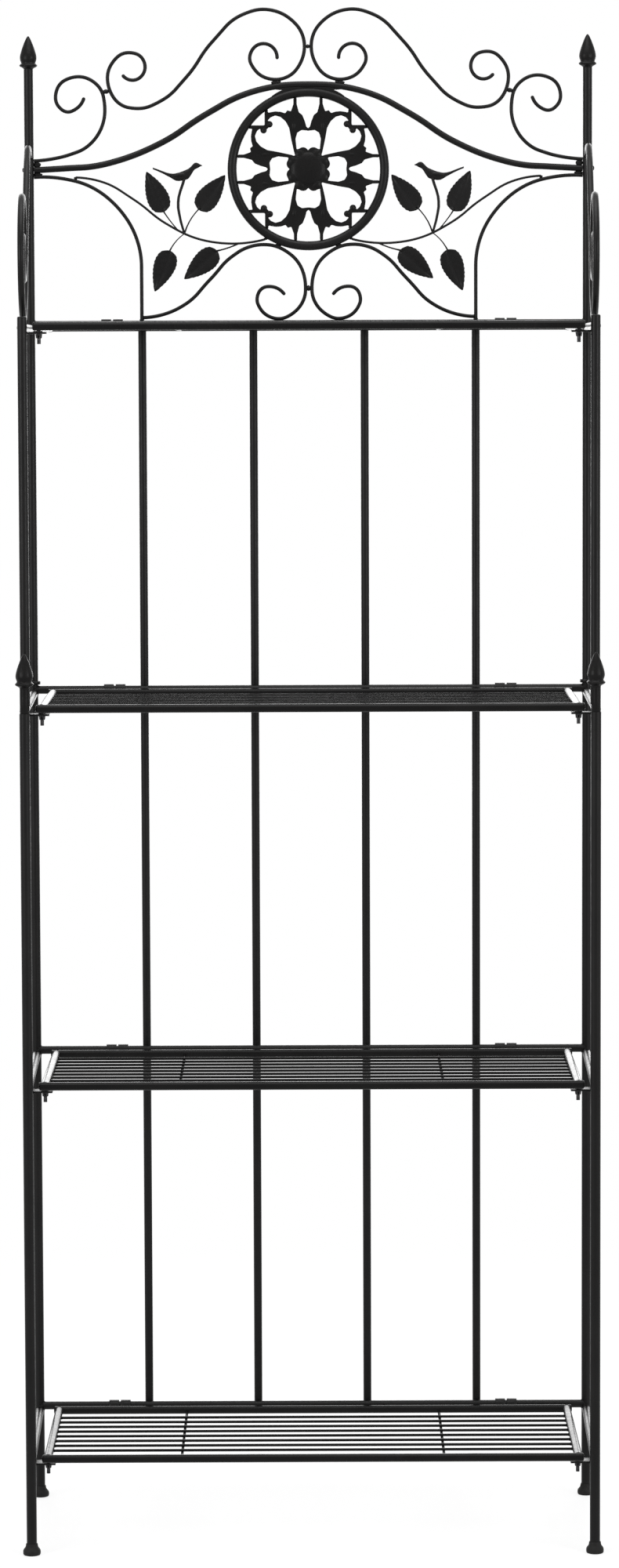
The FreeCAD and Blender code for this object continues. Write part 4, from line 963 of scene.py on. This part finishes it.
# Shelf wires: drawn steel wire, eight lengthwise wires lying on two cross wires.
# Each end is spot welded to the frame and each crossing is pressed and welded.
# The coat is duller on such thin wire.
WIRE_COUNT = 8
WIRE_PITCH = 23.5
WIRE_END = 281.2
CROSS_X = 142
CROSS_END = 117.3
CROSSING_DROP = 1.5
CROSS_END_DROP = 2.5
wire_black = coated(
    "wire_black", DEEP_BLACK, DUSTY_BLACK, smoothest=0.36, roughest=0.48, grain=900, bump=0.03, shine=0.085
)
wire_tack = tack("wire_tack", (0, 0, 0), long=1.5, tall=1.9)
wire_rows = [(row - (WIRE_COUNT - 1) / 2) * WIRE_PITCH for row in range(WIRE_COUNT)]
for number, height in enumerate(SHELF_HEIGHTS, 1):
    paint_nodes(wire_black, "shelf_wires_%d" % number)
    spots = [(side * WIRE_END, row, height) for row in wire_rows for side in (1, -1)]
    spots += [(side * CROSS_X, row, height - CROSSING_DROP) for row in wire_rows for side in (1, -1)]
    for side in (1, -1):
        spots += [(side * CROSS_X, end * CROSS_END, height - CROSS_END_DROP) for end in (1, -1)]
    wire_tacks = [settle(copy_of(wire_tack, "wire_tack_copy"), spot) for spot in spots]
    fit(joined("wire_tacks_%d" % number, wire_tacks), wire_black, "shelf_%d" % number, "black_paint")

# Hinge clips: strips of sheet steel bent round the cross rail and welded to the shelf's back rail.
# They hold the shelf on and let it swing up; their edges are rounded by the paint.
for number in (1, 2, 3, 4):
    clips = eased("hinge_clips_eased_%d" % number, "hinge_clips_%d" % number, width=0.3)
    fit(clips, satin_black, "shelf_%d" % number, "black_paint", "hinge_clips_%d" % number)

# The shapes that the copies were taken from are not part of the rack.
for pattern in (
    rail_weld, cap, bar_tack, wing_nut, lobe, rib, curl, point, leaf_pressed, corner_weld, wire_tack
):
    bpy.data.objects.remove(pattern)

# Floor: a plain white sweep that keeps the rack's soft shadow.
# Seen directly or in a reflection it is nearly as white as the room, and fully so further off.
FLOOR_SIZE = 30
FLOOR_NEAR = 0.5
FLOOR_FAR = 1.7
SHADOW_SHARE = 0.74


def as_seen(tree):
    """A node that is 1 where a surface is seen: straight, in a reflection or through glass."""
    ray = tree.nodes.new("ShaderNodeLightPath")
    direct = tree.nodes.new("ShaderNodeMath")
    direct.operation = "MAXIMUM"
    tree.links.new(ray.outputs["Is Camera Ray"], direct.inputs[0])
    tree.links.new(ray.outputs["Is Glossy Ray"], direct.inputs[1])
    either = tree.nodes.new("ShaderNodeMath")
    either.operation = "MAXIMUM"
    tree.links.new(direct.outputs["Value"], either.inputs[0])
    tree.links.new(ray.outputs["Is Transmission Ray"], either.inputs[1])
    return either


bpy.ops.object.select_all(action="DESELECT")
bpy.ops.mesh.primitive_plane_add(size=FLOOR_SIZE, location=(0, 0, 0))
floor = bpy.context.object
floor.name = "floor"
paper = bpy.data.materials.new("white_paper")
paper.use_nodes = True
sheet = paper.node_tree
matte = sheet.nodes["Principled BSDF"]
matte.inputs["Base Color"].default_value = (0.95, 0.95, 0.95, 1)
matte.inputs["Roughness"].default_value = 0.95
matte.inputs["Specular IOR Level"].default_value = 0.0
glow = sheet.nodes.new("ShaderNodeEmission")
floor_place = sheet.nodes.new("ShaderNodeTexCoord")
reach = sheet.nodes.new("ShaderNodeVectorMath")
reach.operation = "LENGTH"
sheet.links.new(floor_place.outputs["Object"], reach.inputs[0])
fade = sheet.nodes.new("ShaderNodeMapRange")
fade.interpolation_type = "SMOOTHSTEP"
fade.inputs["From Min"].default_value = FLOOR_NEAR
fade.inputs["From Max"].default_value = FLOOR_FAR
fade.inputs["To Min"].default_value = SHADOW_SHARE
fade.inputs["To Max"].default_value = 1.0
sheet.links.new(reach.outputs["Value"], fade.inputs["Value"])
white_share = sheet.nodes.new("ShaderNodeMath")
white_share.operation = "MULTIPLY"
sheet.links.new(as_seen(sheet).outputs["Value"], white_share.inputs[0])
sheet.links.new(fade.outputs["Result"], white_share.inputs[1])
floor_mix = sheet.nodes.new("ShaderNodeMixShader")
sheet.links.new(white_share.outputs["Value"], floor_mix.inputs["Fac"])
sheet.links.new(matte.outputs["BSDF"], floor_mix.inputs[1])
sheet.links.new(glow.outputs["Emission"], floor_mix.inputs[2])
sheet.links.new(floor_mix.outputs["Shader"], sheet.nodes["Material Output"].inputs["Surface"])
floor.data.materials.append(paper)

# Light: a soft white room, a broad panel overhead, one at each side of the camera and one behind.
# The room is white to the camera and in reflections, and dimmer as a light.
ROOM_LIGHT = 0.55
LAMP_AIM = (0, 0, 0.85)
world = bpy.data.worlds.new("white_room")
bpy.context.scene.world = world
world.use_nodes = True
room = world.node_tree
room_light = room.nodes["Background"]
room_light.inputs["Color"].default_value = (1, 1, 1, 1)
room_light.inputs["Strength"].default_value = ROOM_LIGHT
room_seen = room.nodes.new("ShaderNodeBackground")
room_seen.inputs["Color"].default_value = (1, 1, 1, 1)
room_seen.inputs["Strength"].default_value = 1.0
room_mix = room.nodes.new("ShaderNodeMixShader")
room.links.new(as_seen(room).outputs["Value"], room_mix.inputs["Fac"])
room.links.new(room_light.outputs["Background"], room_mix.inputs[1])
room.links.new(room_seen.outputs["Background"], room_mix.inputs[2])
room.links.new(room_mix.outputs["Shader"], room.nodes["World Output"].inputs["Surface"])
for panel, spot, width, power in (
    ("overhead", (0, -0.6, 3.4), 2.4, 60),
    ("left_panel", (-2.6, -2.4, 1.5), 1.6, 40),
    ("right_panel", (2.6, -2.4, 1.5), 1.6, 40),
    ("rear_panel", (0, 3.6, 1.9), 3.2, 100),
):
    bpy.ops.object.select_all(action="DESELECT")
    bpy.ops.object.light_add(type="AREA", location=spot)
    lamp = bpy.context.object
    lamp.name = panel
    lamp.data.size = width
    lamp.data.energy = power
    lamp.visible_camera = False
    lamp.rotation_mode = "QUATERNION"
    lamp.rotation_quaternion = (Vector(LAMP_AIM) - Vector(spot)).to_track_quat("-Z", "Y")

# Camera: a long lens just below the top shelf's height, looking five degrees down.
# Its place, its angles in radians and its focal length come from the posts and shelves as they are seen.
CAMERA_SPOT = (0.00094, -5.3005, 1.2831)
CAMERA_PAN = 0.0004
CAMERA_PITCH = 0.0873
CAMERA_ROLL = -0.0038
FOCAL_PIXELS = 6229.7
PICTURE_PIXELS = 2000
SENSOR = 36
bpy.ops.object.select_all(action="DESELECT")
bpy.ops.object.camera_add(location=CAMERA_SPOT)
camera = bpy.context.object
camera.rotation_mode = "QUATERNION"
camera.rotation_quaternion = (
    Quaternion((0, 0, 1), CAMERA_PAN)
    @ Quaternion((1, 0, 0), math.pi / 2 - CAMERA_PITCH)
    @ Quaternion((0, 0, 1), CAMERA_ROLL)
)
camera.data.sensor_width = SENSOR
camera.data.lens = SENSOR * FOCAL_PIXELS / PICTURE_PIXELS
camera.data.clip_end = 60
bpy.context.scene.camera = camera
bpy.ops.object.select_all(action="DESELECT")

bpy.context.scene.view_settings.view_transform = "Standard"
